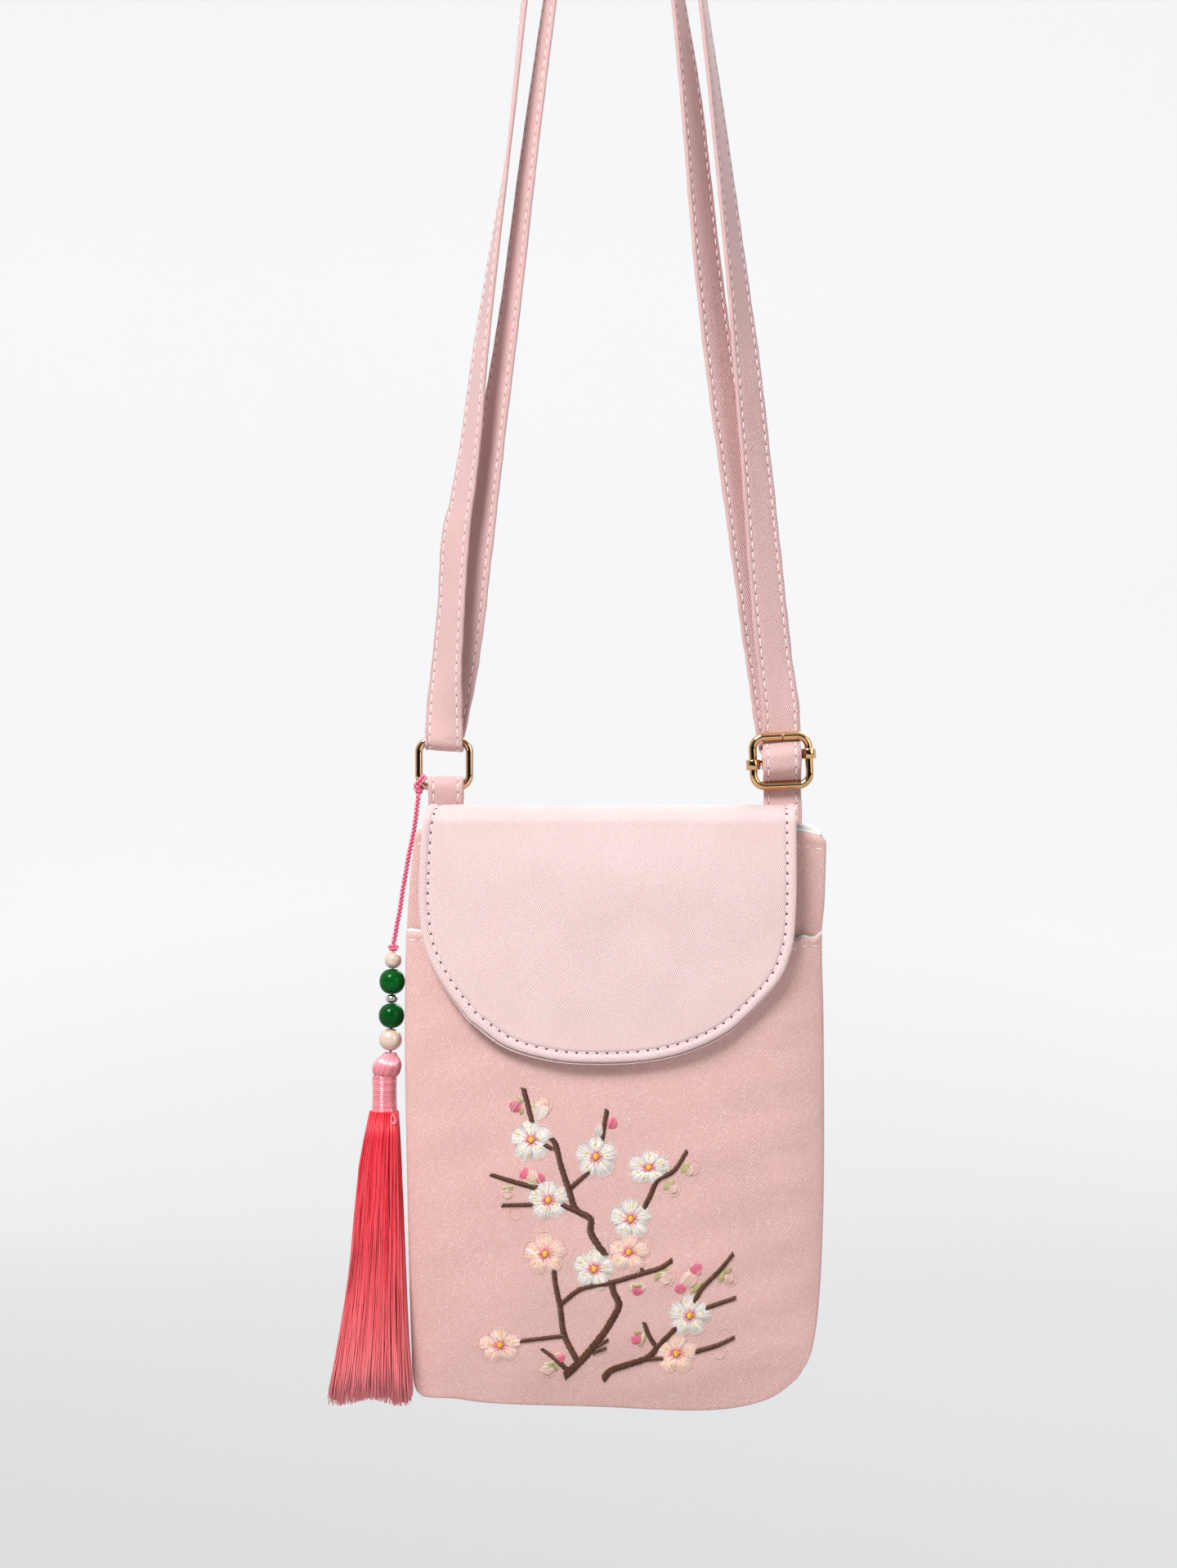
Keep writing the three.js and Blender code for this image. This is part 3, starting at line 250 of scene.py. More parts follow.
# Embroidery on the pocket, in x and z: branches (first width, last width, points).
BRANCHES = [
    (2.6, 2.1, [(-15.7, -524.7), (-10.6, -519.7), (-5.2, -513.2), (-0.9, -506.7), (1.6, -501.0),
                (0.0, -497.1), (-0.9, -493.2)]),
    (2.3, 1.7, [(-3.0, -484.9), (-7.3, -477.7), (-7.5, -473.5), (-11.9, -470.6), (-14.5, -463.6),
                (-16.9, -456.1), (-18.7, -449.3), (-20.0, -447.8)]),
    (1.6, 1.3, [(-22.1, -449.9), (-19.4, -451.2)]),
    (1.8, 1.6, [(-26.0, -442.6), (-27.5, -436.6), (-28.8, -431.7)]),
    (1.7, 1.3, [(-13.5, -463.4), (-7.8, -458.4)]),
    (1.3, 1.6, [(-3.6, -448.0), (-2.9, -442.9), (-2.1, -438.4)]),
    (1.8, 1.2, [(-24.9, -463.6), (-32.2, -461.6), (-39.2, -459.5)]),
    (1.4, 1.2, [(-26.0, -469.0), (-35.7, -469.3)]),
    (1.6, 1.8, [(-16.6, -469.0), (-11.9, -471.0)]),
    (1.8, 1.3, [(9.6, -470.0), (11.7, -465.7), (13.8, -461.3), (19.0, -458.2), (23.4, -451.6)]),
    (1.6, 1.6, [(-16.9, -501.0), (-10.4, -496.1), (-0.9, -494.0), (9.6, -490.9), (15.1, -489.1),
                (18.6, -486.7)]),
    (1.6, 1.0, [(9.4, -490.9), (8.8, -489.3)]),
    (2.1, 1.6, [(-11.7, -519.5), (-15.8, -511.0), (-17.1, -502.1), (-18.7, -493.8), (-19.0, -489.9)]),
    (1.4, 1.3, [(-16.1, -511.4), (-29.9, -513.2)]),
    (1.8, 1.0, [(-14.8, -522.6), (-19.0, -518.7), (-23.1, -515.6)]),
    (1.3, 1.0, [(-5.2, -514.8), (-1.6, -512.5)]),
    (1.3, 1.0, [(-6.5, -516.9), (-2.3, -515.3)]),
    (2.3, 1.7, [(-3.4, -525.7), (-0.9, -522.9), (4.7, -520.8), (10.9, -518.4), (15.1, -513.8),
                (20.0, -508.6)]),
    (1.6, 1.3, [(13.2, -514.5), (10.9, -510.4), (9.7, -506.9)]),
    (1.6, 1.3, [(10.9, -519.0), (15.8, -518.8)]),
    (1.7, 1.3, [(26.2, -516.6), (33.2, -514.5), (38.7, -511.9)]),
    (1.8, 1.3, [(25.5, -500.3), (28.3, -495.8), (33.8, -490.1), (38.2, -484.7)]),
    (1.6, 1.3, [(29.4, -502.3), (39.1, -499.0)]),
]
# Blossoms: x, z, height share, petal colour.
BLOSSOMS = [
    (-26.3, -448.3, 1.0, "white"), (-5.7, -453.6, 1.0, "white"), (11.1, -456.9, 0.78, "white"),
    (-20.9, -467.5, 0.95, "white"), (5.4, -473.5, 1.0, "white"), (-21.9, -484.7, 1.0, "peach"),
    (4.7, -484.2, 0.9, "peach"), (-6.3, -489.5, 1.0, "white"), (24.2, -504.7, 1.0, "white"),
    (-36.4, -514.5, 0.8, "peach"), (20.0, -517.1, 0.95, "peach"),
]
# Leaves and buds: x, z, length, width, angle, colour.
LEAVES = [
    (-31.3, -437.6, 3.6, 3.0, 60, "pink"), (-30.0, -435.4, 3.6, 1.5, -45, "green"),
    (-29.4, -439.3, 2.4, 1.0, 60, "green"), (-23.4, -438.9, 5.6, 4.2, 70, "cream"),
    (-25.4, -437.8, 3.6, 1.4, 80, "green"), (-22.0, -436.6, 3.4, 2.0, 110, "peach"),
    (-0.7, -442.9, 3.4, 2.7, 70, "pink"), (-4.6, -445.4, 3.6, 2.4, 75, "white"),
    (-28.6, -459.0, 3.2, 2.4, 60, "pink"), (-23.4, -460.6, 3.4, 2.4, -60, "pink"),
    (-26.0, -460.0, 3.4, 3.2, 90, "peach"), (-26.0, -462.0, 4.8, 1.3, -12, "green"),
    (-33.6, -463.6, 4.0, 1.8, 10, "green"), (-33.8, -465.5, 3.6, 2.2, 0, "peach"),
    (22.6, -457.2, 4.2, 2.0, 50, "green"), (24.0, -458.4, 3.0, 1.8, 50, "peach"),
    (17.4, -462.6, 4.6, 1.9, 40, "green"), (18.9, -464.1, 3.0, 1.8, 40, "peach"),
    (7.5, -494.6, 4.6, 1.4, 0, "green"), (5.6, -495.9, 2.6, 1.0, 100, "green"),
    (9.4, -495.9, 2.6, 1.0, 80, "green"), (7.5, -496.6, 2.8, 2.6, 90, "pink"),
    (14.0, -491.8, 3.6, 1.5, 60, "green"), (16.2, -490.4, 3.6, 1.4, 10, "green"),
    (16.4, -492.6, 3.8, 2.8, 10, "peach"), (26.1, -489.6, 3.6, 3.0, 40, "pink"),
    (21.2, -495.8, 3.4, 2.4, 20, "pink"), (24.0, -493.0, 5.2, 4.0, 50, "peach"),
    (26.2, -495.6, 6.0, 1.3, 42, "green"), (34.2, -492.4, 4.2, 1.5, 75, "green"),
    (36.2, -490.2, 3.4, 1.5, 30, "green"), (36.6, -493.0, 3.4, 2.6, 60, "peach"),
    (7.6, -509.9, 3.2, 1.0, 5, "green"), (9.6, -511.8, 3.8, 1.1, 80, "green"),
    (8.6, -513.8, 2.4, 0.9, 30, "green"), (7.1, -512.4, 3.0, 2.6, 60, "pink"),
    (-17.4, -518.4, 3.2, 2.8, 30, "pink"), (-20.4, -520.4, 4.6, 1.8, 20, "green"),
    (-18.6, -521.6, 3.2, 1.3, 80, "green"), (-21.2, -522.4, 4.2, 2.6, 10, "peach"),
]
# Faint petal outlines: x, z, radius, first angle, last angle.
OUTLINES = [
    (25.0, -457.0, 2.4, -100, 80), (18.6, -464.0, 2.4, -160, 20), (-31.4, -471.9, 1.9, 0, 360),
    (16.6, -492.4, 2.7, -120, 40), (36.8, -492.6, 2.5, -100, 60), (35.6, -511.2, 2.3, 20, 170),
    (33.6, -516.6, 2.2, 0, 360), (-21.0, -522.2, 2.6, 150, 330), (-22.4, -437.4, 2.9, -60, 60),
]
PETAL_RADIUS = 6.6
PETAL_COUNT = 5
BRANCH_SLANT = 62.0
BRANCH_PITCH = 0.27
BUD_MIX = {"pink": "peach", "green": "cream", "peach": "cream", "cream": "white", "white": "cream"}
BUD_SWELL = 1.2
PETAL_SPREAD = 36.0
PETAL_THREADS = 21
PETAL_POWER = 3.2

# Camera, measured from the frame's origin: place, and lens for a sensor of this width.
CAMERA_PLACE = (-8.05, -913.0, -335.06)
CAMERA_LENS = 65.0
CAMERA_SENSOR = 36.0
# Backdrop, in metres: steps of the floor to the back, half width, start and radius of the bend, and the top.
BACKDROP_FLOOR = (-6.0, -2.0, 0.0, 1.4)
BACKDROP_HALF = 6.0
BACKDROP_BEND = (2.6, 1.4)
BACKDROP_TOP = 4.5
# Lamps, in metres: name, place, width, and share of the key or the fill power.
LAMPS = [("key", (-0.85, -1.4, 1.38), 1.0, "key", 1.0), ("fill", (1.3, -1.2, 0.2), 1.2, "fill", 1.0),
         ("rim", (0.6, 1.5, 0.8), 1.2, "fill", 2.2)]
LAMP_AIM = (0.0, 0.0, -0.4)


def linear(code):
    """Scene-linear colour of a six-digit colour code."""
    parts = [int(code[k:k + 2], 16) / 255 for k in (0, 2, 4)]
    return tuple(p / 12.92 if p <= 0.04045 else ((p + 0.055) / 1.055) ** 2.4 for p in parts)


def colour_prop(name, code, text):
    return FloatVectorProperty(name=name, description=text, default=linear(code), subtype="COLOR",
                               min=0.0, max=1.0)


def number_prop(name, value, text, **limits):
    return FloatProperty(name=name, description=text, default=value, min=0.0, **limits)


def length_prop(name, millimetres, text):
    return number_prop(name, millimetres * MM, text, unit="LENGTH", precision=5)


class BagClothSettings(bpy.types.PropertyGroup):
    """Colours and weave of the cloth."""
    body: colour_prop("Body", "DFB1AB", "Twill of the pouch and the slip pocket")
    flap: colour_prop("Flap", "E8CAC8", "Twill of the flap")
    strap: colour_prop("Strap", "DDB4B2", "Twill of the strap and the ring's tab")
    lining: colour_prop("Lining", "E6E3DF", "White lining cloth")
    twill_period: length_prop("Twill period", 0.61, "Distance from one twill line to the next")
    swell: length_prop("Swell", 0.3, "Height of the soft waves in the walls")


class BagThreadSettings(bpy.types.PropertyGroup):
    """Topstitching and embroidery thread."""
    pitch: length_prop("Stitch pitch", 3.2, "Distance from one topstitch to the next")
    stitch: number_prop("Stitch share", 0.64, "Share of the pitch that one topstitch covers",
                        max=0.95, subtype="FACTOR")
    width: length_prop("Stitch width", 0.45, "Thickness of the topstitch thread")
    hole: length_prop("Needle hole", 0.9, "Width of the needle hole between two stitches")
    silk: length_prop("Silk width", 0.36, "Thickness of the embroidery thread")
    white: colour_prop("Stitch white", "EEDEDB", "Topstitch thread")
    # Colour of the dark dots between stitches: painted shadow in the holes the needle made.
    shade: colour_prop("Needle hole", "6A4A4F", "Shaded needle holes")
    branch: colour_prop("Branch", "542F1B", "Brown branch thread")
    petal: colour_prop("Petal", "EEE6E1", "White petal thread")
    peach: colour_prop("Peach", "F3CBBD", "Peach petal and bud thread")
    cream: colour_prop("Cream", "F6E6DA", "Cream bud thread")
    pink: colour_prop("Pink", "DB6D88", "Pink bud and stamen thread")
    green: colour_prop("Green", "BBB17B", "Green sepal thread")
    yellow: colour_prop("Yellow", "F4BE35", "Yellow thread of the blossom centres")
    lime: colour_prop("Pale yellow", "E0CB58", "Pale yellow thread of the petal dots")


class BagCharmSettings(bpy.types.PropertyGroup):
    """Cord, beads and tassel."""
    strands: IntProperty(name="Tassel strands", description="Number of silk strands in the skirt",
                         default=950, min=10)
    strand_width: length_prop("Strand width", 0.5, "Thickness of one silk strand")
    cord: colour_prop("Cord", "E0406C", "Braided cord")
    # Pale cord strands: paler thread and painted highlight of the glossy cord.
    cord_pale: colour_prop("Cord pale", "F3A3B6", "Pale strands of the braided cord")
    silk: colour_prop("Silk", "DE2338", "Tassel skirt, deep strands")
    # Pale strand ends: painted light on the lower skirt.
    silk_pale: colour_prop("Silk pale", "FF9DA2", "Tassel skirt, pale strand ends")
    bound: colour_prop("Bound silk", "F0747F", "Knob and bound neck of the tassel")
    pearl: colour_prop("Pearl", "D1BAA8", "Pearl beads")
    # Pearl rim: painted shade, darker and warmer where the beads turn away from the eye.
    pearl_rim_shade: colour_prop("Pearl rim", "C09481", "Pearl beads where they turn away from the eye")
    green: colour_prop("Green bead", "004814", "Glass beads")
    silver: colour_prop("Silver", "C9C5BF", "Spacer bead")


class BagMetalSettings(bpy.types.PropertyGroup):
    """Ring and slider."""
    gold: colour_prop("Gold", "DDB07E", "Slider frame and bar")
    rose: colour_prop("Rose gold", "DDB592", "Left ring")
    roughness: number_prop("Roughness", 0.07, "Base roughness of the metal", max=1.0)


class BagStageSettings(bpy.types.PropertyGroup):
    """Floor, backdrop and light."""
    floor_drop: length_prop("Floor drop", 350.0, "Distance from the bag's base down to the floor")
    pale: colour_prop("Pale", "D9DADB", "Floor and backdrop")
    key: number_prop("Key light", 79.0, "Power of the key light", unit="POWER")
    fill: number_prop("Fill light", 8.0, "Power of the fill light", unit="POWER")
    sky: number_prop("Room light", 0.3, "Strength of the light from all round")


def cloth():
    return bpy.context.scene.bag_cloth


def thread():
    return bpy.context.scene.bag_thread


def charm():
    return bpy.context.scene.bag_charm


# Curves, columns of a table, and patches.
def eased(t, first, last, slope_first, slope_last):
    """A cubic blend from first to last with the given slopes at both ends."""
    return ((2 * t**3 - 3 * t**2 + 1) * first + (t**3 - 2 * t**2 + t) * slope_first
            + (3 * t**2 - 2 * t**3) * last + (t**3 - t**2) * slope_last)


def smooth_line(points, per=24):
    """A smooth line through the points, with the same number of steps in each stretch."""
    p = np.asarray(points, float)
    p = np.vstack([2 * p[0] - p[1], p, 2 * p[-1] - p[-2]])
    t = np.linspace(0, 1, per, endpoint=False)[:, None]
    parts = []
    for a, b, c, d in zip(p[:-3], p[1:-2], p[2:-1], p[3:]):
        k0, k1, k2 = (max(np.linalg.norm(e - f), 1e-6) ** 0.5 for e, f in ((b, a), (c, b), (d, c)))
        m1 = ((b - a) / k0 - (c - a) / (k0 + k1) + (c - b) / k1) * k1
        m2 = ((c - b) / k1 - (d - b) / (k1 + k2) + (d - c) / k2) * k1
        parts.append(eased(t, b, c, m1, m2))
    return np.vstack([*parts, p[-2:-1]])


def unit(rows):
    return rows / np.linalg.norm(rows, axis=-1, keepdims=True)


def lengths(line):
    return np.concatenate([[0.0], np.cumsum(np.linalg.norm(np.diff(line, axis=0), axis=1))])


def by_length(line):
    """Points on a line by share of its length."""
    at = lengths(line)
    at = at / at[-1]
    return lambda t: np.stack([np.interp(t, at, line[:, k]) for k in range(line.shape[1])], axis=-1)


def column(rows, value, key=0):
    """One column of a table at any place between its rows."""
    rows = sorted(rows, key=lambda row: row[key])
    x = np.array([row[key] for row in rows], float)
    y = np.array([row[value] for row in rows], float)
    slope = np.gradient(y, x)

    def at(place):
        p = np.clip(place, x[0], x[-1])
        k = np.clip(np.searchsorted(x, p) - 1, 0, len(x) - 2)
        h = x[k + 1] - x[k]
        t = (p - x[k]) / h
        return eased(t, y[k], y[k + 1], h * slope[k], h * slope[k + 1])

    return at


def coons(bottom, top, left, right):
    """A patch between four edge curves that share their corners."""
    p00, p10, p01, p11 = bottom(0.0), bottom(1.0), top(0.0), top(1.0)

    def at(u, v):
        a, b = u[..., None], v[..., None]
        ruled = bottom(u) * (1 - b) + top(u) * b + left(v) * (1 - a) + right(v) * a
        return ruled - (p00 * (1 - a) + p10 * a) * (1 - b) - (p01 * (1 - a) + p11 * a) * b

    return at


def waves(x, z, length, seed):
    """Soft irregular waves, mostly from -1 to 1."""
    rng = np.random.default_rng(seed)
    total = np.zeros_like(x)
    for _ in range(7):
        heading, size, phase = rng.uniform(0, math.pi), length * rng.uniform(0.6, 1.7), rng.uniform(0, 6.28)
        total += np.sin(2 * math.pi * (x * np.cos(heading) + z * np.sin(heading)) / size + phase)
    return total / 4.0


def bell(distance, width):
    return np.exp(-((distance / width) ** 2))


# Pouch and pocket surfaces.
def plan_edges(front):
    mouth = [(row[0], row[1 if front else 2]) for row in MOUTH]
    return [by_length(smooth_line(rows)) for rows in (BASE_SEAM, mouth, LEFT_SEAM, RIGHT_SEAM)]


PLANS = {"front": coons(*plan_edges(True)), "back": coons(*plan_edges(False))}
BULGES = {"front": column(BULGE, 1), "back": column(BULGE, 2), "pocket": column(BULGE, 3)}
POUCH_HEIGHT = lengths(smooth_line(LEFT_SEAM))[-1]
POCKET_EDGE = column(POCKET_TOP, 1)


def across(u):
    return np.maximum(1 - np.abs(2 * u - 1) ** ACROSS_POWER, 0) ** ACROSS_EASE


def wall_depth(side, u, v):
    return SEAM_HALF + BULGES[side](v) * across(u)


def wall_point(side, u, v, inward):
    plan = PLANS[side](u, np.minimum(v, 1))
    depth = wall_depth(side, u, np.minimum(v, 1)) - inward
    lift = np.maximum(v - 1, 0) * POUCH_HEIGHT
    return np.stack([plan[..., 0], -depth if side == "front" else depth, plan[..., 1] + lift], axis=-1)


def pocket_reach(u):
    """Height share of the pocket's top edge."""
    v = np.full_like(u, 0.8)
    for _ in range(6):
        plan = PLANS["front"](u, v)
        v = v + (POCKET_EDGE(plan[..., 0]) - plan[..., 1]) / POUCH_HEIGHT
    return v


def pocket_point(u, t, outward):
    v = t * pocket_reach(u)
    point = wall_point("front", u, v, 0.0)
    point[..., 1] -= POCKET_GAP + BULGES["pocket"](v) * across(u) + outward
    return point


# Flap surface.
HANG_MIDDLE = column(FLAP_HANG, 1)
HANG_SIDE = column(FLAP_HANG, 2)


def hang_depth(x, z):
    out = np.clip(x / FLAP_HALF, -1, 1) ** 2
    return HANG_MIDDLE(z) * (1 - out) + HANG_SIDE(z) * out


def flap_point(x, fall, outward):
    half = FOLD_LENGTH / 2
    back = wall_depth("back", np.clip((x - SPAN_LEFT) / SPAN_WIDTH, 0, 1), ROOT_LEVEL) + ROOT_GAP + outward
    front = hang_depth(x, np.full_like(x, FOLD_HEIGHT)) - outward
    low = FOLD_HEIGHT + fall + half
    turn = math.pi / 2 * (1 - np.clip(fall / half, -1, 1))
    y = (back + front) / 2 + (back - front) / 2 * np.cos(turn)
    z = FOLD_HEIGHT + (FOLD_RISE + outward) * np.sin(turn)
    y = np.where(fall > half, back, np.where(fall < -half, hang_depth(x, low) - outward, y))
    z = np.where(fall > half, FOLD_HEIGHT - (fall - half), np.where(fall < -half, low, z))
    return np.stack([x, y, z], axis=-1)


def flap_rays(rows, fan):
    """Rays from the flap's outline in to its middle line: outline points and inner points, in x and fall."""
    left, bottom, right = (smooth_line(side, 60) for side in (FLAP_LEFT, FLAP_BOTTOM, FLAP_RIGHT))
    outline = np.vstack([left[::-1], bottom[1:], right[1:]])
    hub = np.array(FLAP_HUB)
    low = np.argmin(outline[:, 1])
    falls = np.linspace(FLAP_ROOT, hub[1], rows)
    sides = [outline[:low + 1][::-1], outline[low:]]
    left_x, right_x = (np.interp(falls, side[:, 1], side[:, 0]) for side in sides)
    away = outline - hub
    swing = np.linspace(-math.pi / 2, math.pi / 2, fan)[1:-1]
    reach = np.interp(swing, np.arctan2(away[:, 0], -away[:, 1]), np.linalg.norm(away, axis=1))
    round_part = hub + np.stack([np.sin(swing), -np.cos(swing)], axis=-1) * reach[:, None]
    outer = np.vstack([np.stack([left_x, falls], -1), round_part, np.stack([right_x, falls], -1)[::-1]])
    middle = np.stack([np.full(rows, hub[0]), falls], -1)
    inner = np.vstack([middle, np.tile(hub, (fan - 2, 1)), middle[::-1]])
    return outer, inner


# Mesh making.
def graded(count, edge, width):
    """Steps from 0 to 1 with a rolled edge at both ends."""
    share = edge / width
    bend = (1 - np.cos(np.linspace(0, math.pi / 2, 6))) * share
    return np.concatenate([bend, np.linspace(share, 1 - share, count)[1:-1], 1 - bend[::-1]])


def hem(distance, swell, groove, sewn=1.0):
    """Height of a turned hem at a distance from its edge: a swell and, where it is sewn, a groove."""
    (rise, near, wide), (dip, far, narrow) = swell, groove
    return rise * bell(distance - near, wide) - sewn * dip * bell(distance - far, narrow)


def roll(distance, radius):
    return np.sqrt(np.maximum(1 - np.clip(1 - distance / radius, 0, 1) ** 2, 0))


def edge_distance(u, v, width, height):
    """Distance from the nearest edge of a panel, from shares of its width and height."""
    return np.minimum(np.minimum(u, 1 - u) * width, np.minimum(v, 1 - v) * height)


def flat_weave(points):
    """Weave coordinates of a hanging panel: across, up and through."""
    return points[..., [0, 2, 1]]


def closed_sheet(front, back):
    """A closed piece of cloth from two grids of points that share the points where they meet."""
    rows, cols = front.shape[:2]
    count = rows * cols
    apart = np.linalg.norm(front - back, axis=-1).ravel() > 1e-6
    first = np.arange(count).reshape(rows, cols)
    second = np.where(apart, count + np.cumsum(apart) - 1, np.arange(count)).reshape(rows, cols)
    verts = np.vstack([front.reshape(-1, 3), back.reshape(-1, 3)[apart]])
    faces = []
    for grid, flip in ((first, False), (second, True)):
        quads = np.stack([grid[:-1, :-1], grid[:-1, 1:], grid[1:, 1:], grid[1:, :-1]], -1).reshape(-1, 4)
        faces += (quads[:, ::-1] if flip else quads).tolist()
    return verts, faces, apart


def twice(grid, apart):
    """Per-point values of a grid, for both faces of a closed sheet."""
    flat = grid.reshape(-1, grid.shape[-1])
    return np.vstack([flat, flat[apart]])


def put_values(mesh, label, values):
    mesh.attributes.new(label, "FLOAT", "POINT").data.foreach_set("value", np.asarray(values, float).ravel())


def put_vectors(mesh, label, values):
    rows = mesh.attributes.new(label, "FLOAT_VECTOR", "POINT").data
    rows.foreach_set("vector", np.asarray(values, float).ravel())


def smooth_shaded(mesh):
    mesh.polygons.foreach_set("use_smooth", np.ones(len(mesh.polygons), bool))
    mesh.update()
    return mesh


def new_object(name, data):
    obj = bpy.data.objects.new(name, data)
    bpy.context.scene.collection.objects.link(obj)
    return obj


def settle(name, mesh, stands_for=()):
    """Puts a finished mesh into the scene as a piece of the bag."""
    obj = new_object(name, mesh)
    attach(obj, "root")
    if stands_for:
        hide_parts(*stands_for)
    return obj


def make_mesh(name, verts, faces, materials, weave=None, tone=None, weld=0.0, turn_out=True, which=None):
    """A smooth mesh from points in millimetres; which holds each face's material."""
    mesh = bpy.data.meshes.new(name)
    mesh.from_pydata((np.asarray(verts) * MM).tolist(), [], faces)
    if weave is not None:
        put_vectors(mesh, "weave", weave)
    if tone is not None:
        put_values(mesh, "tone", tone)
    for material in materials:
        mesh.materials.append(material)
    if which is not None:
        mesh.polygons.foreach_set("material_index", np.asarray(which, int))
    if turn_out or weld:
        shape = bmesh.new()
        shape.from_mesh(mesh)
        if weld:
            bmesh.ops.remove_doubles(shape, verts=shape.verts, dist=weld * MM)
            bmesh.ops.dissolve_degenerate(shape, edges=shape.edges, dist=1e-7)
        bmesh.ops.recalc_face_normals(shape, faces=shape.faces)
        shape.to_mesh(mesh)
        shape.free()
    return smooth_shaded(mesh)


def add_piece(name, shape, finish, slot=None, stands_for=(), **extras):
    """Makes a piece of the bag from its points and faces, in one finish."""
    return settle(name, make_mesh(name, *shape, [finish_named(finish)], **extras), stands_for)


def add_cloth(name, front, back, weave, finish, slot, stands_for=(), **extras):
    """Makes a closed piece of cloth from two grids of points and their weave coordinates."""
    verts, faces, apart = closed_sheet(front, back)
    weave = twice(weave, apart)
    return add_piece(name, (verts, faces), finish, slot, stands_for, weave=weave, **extras)


def add_lining(name, middle, half, stands_for=()):
    """Makes a piece of lining from its middle surface and its half thickness."""
    thick = half[..., None] * (0.0, 1.0, 0.0)
    weave = flat_weave(middle)
    return add_cloth(name, middle - thick, middle + thick, weave, "lining cloth", "lining_white", stands_for)


def carry(path, closed=False):
    """Two directions square to a path at each of its points, carried along without twist."""
    ahead = np.roll(path, -1, 0) - np.roll(path, 1, 0) if closed else np.gradient(path, axis=0)
    ahead = unit(ahead)
    side = np.cross(ahead[0], (0.0, 0.0, 1.0) if abs(ahead[0][2]) < 0.9 else (1.0, 0.0, 0.0))
    sides = []
    for step in ahead:
        side = unit(side - step * (side @ step))
        sides.append(side)
    sides = np.array(sides)
    if closed:
        first = sides[0]
        last = unit(sides[-1] - ahead[0] * (sides[-1] @ ahead[0]))
        slip = math.atan2(np.cross(last, first) @ ahead[0], last @ first)
        turn = np.linspace(0, slip, len(path), endpoint=False)[:, None]
        sides = sides * np.cos(turn) + np.cross(ahead, sides) * np.sin(turn)
    return sides, np.cross(ahead, sides)


def stacked(rings, closed=False):
    """Points and faces of a stack of rings; its ends are capped unless it closes on itself."""
    rows, sides = rings.shape[:2]
    index = np.arange(rows * sides).reshape(rows, sides)
    before, after = (index, np.roll(index, -1, 0)) if closed else (index[:-1], index[1:])
    quads = np.stack([before, np.roll(before, -1, 1), np.roll(after, -1, 1), after], -1)
    caps = [] if closed else [index[0][::-1].tolist(), index[-1].tolist()]
    return rings.reshape(-1, 3), quads.reshape(-1, 4).tolist() + caps


def tube(path, radius, sides=6, closed=False):
    """A round tube along a path; its ends are capped unless it closes on itself."""
    path = np.asarray(path, float)
    one, two = carry(path, closed)
    turn = np.arange(sides) * 2 * math.pi / sides
    size = np.broadcast_to(np.asarray(radius, float), (len(path),))[:, None, None]
    ring = one[:, None] * np.cos(turn)[None, :, None] + two[:, None] * np.sin(turn)[None, :, None]
    return stacked(path[:, None] + ring * size, closed)


def lathe(profile, place, sides=40, closed=False):
    """A turned form round an upright line; profile rows are radius and height, bottom first."""
    profile = np.asarray(profile, float)
    turn = np.arange(sides) * 2 * math.pi / sides
    level = np.broadcast_to(profile[:, None, 1], (len(profile), sides))
    verts = np.stack([profile[:, None, 0] * np.cos(turn), profile[:, None, 0] * np.sin(turn), level], -1)
    return stacked(verts + np.asarray(place, float), closed)


def gather(parts):
    """Several meshes as one list of points and faces."""
    verts, faces, start = [], [], 0
    for points, polygons in parts:
        verts.append(points)
        faces += [[k + start for k in polygon] for polygon in polygons]
        start += len(points)
    return np.vstack(verts), faces


# Shader nodes.
class Wiring:
    """Adds nodes to one node tree and links them."""

    def __init__(self, tree):
        self.tree = tree

    def put(self, socket, value):
        if isinstance(value, bpy.types.NodeSocket):
            self.tree.links.new(value, socket)
        else:
            socket.default_value = value

    def add(self, kind, values=None, output=0, **fields):
        """A new node with its inputs set by name or place; returns one output, or all of them for None."""
        node = self.tree.nodes.new(kind)
        for key, value in fields.items():
            setattr(node, key, value)
        for key, value in (values or {}).items():
            self.put(node.inputs[key], value)
        return node.outputs if output is None else node.outputs[output]

    def maths(self, operation, first, second=0.0):
        return self.add("ShaderNodeMath", {0: first, 1: second}, operation=operation)

    def mix(self, factor, first, second):
        return self.add("ShaderNodeMix", {0: factor, 6: first, 7: second}, 2, data_type="RGBA")

    def noise(self, vector, scale, detail=2.0):
        return self.add("ShaderNodeTexNoise", {"Vector": vector, "Scale": scale, "Detail": detail})

    def span(self, value, low, high, to_low=0.0, to_high=1.0):
        return self.add("ShaderNodeMapRange", dict(enumerate((value, low, high, to_low, to_high))))

    def bump(self, height, distance, strength):
        return self.add("ShaderNodeBump", {"Height": height, "Distance": distance, "Strength": strength})

    def group(self, tree, **values):
        values = {key.replace("_", " "): value for key, value in values.items()}
        return self.add("ShaderNodeGroup", values, None, node_tree=tree)

    def place(self):
        return self.add("ShaderNodeTexCoord", output="Object")

    def attribute(self, name, output):
        return self.add("ShaderNodeAttribute", output=output, attribute_name=name)

    def mottle(self, place, scale):
        return self.group(once("Mottle", mottle_group), Vector=place, Scale=scale)


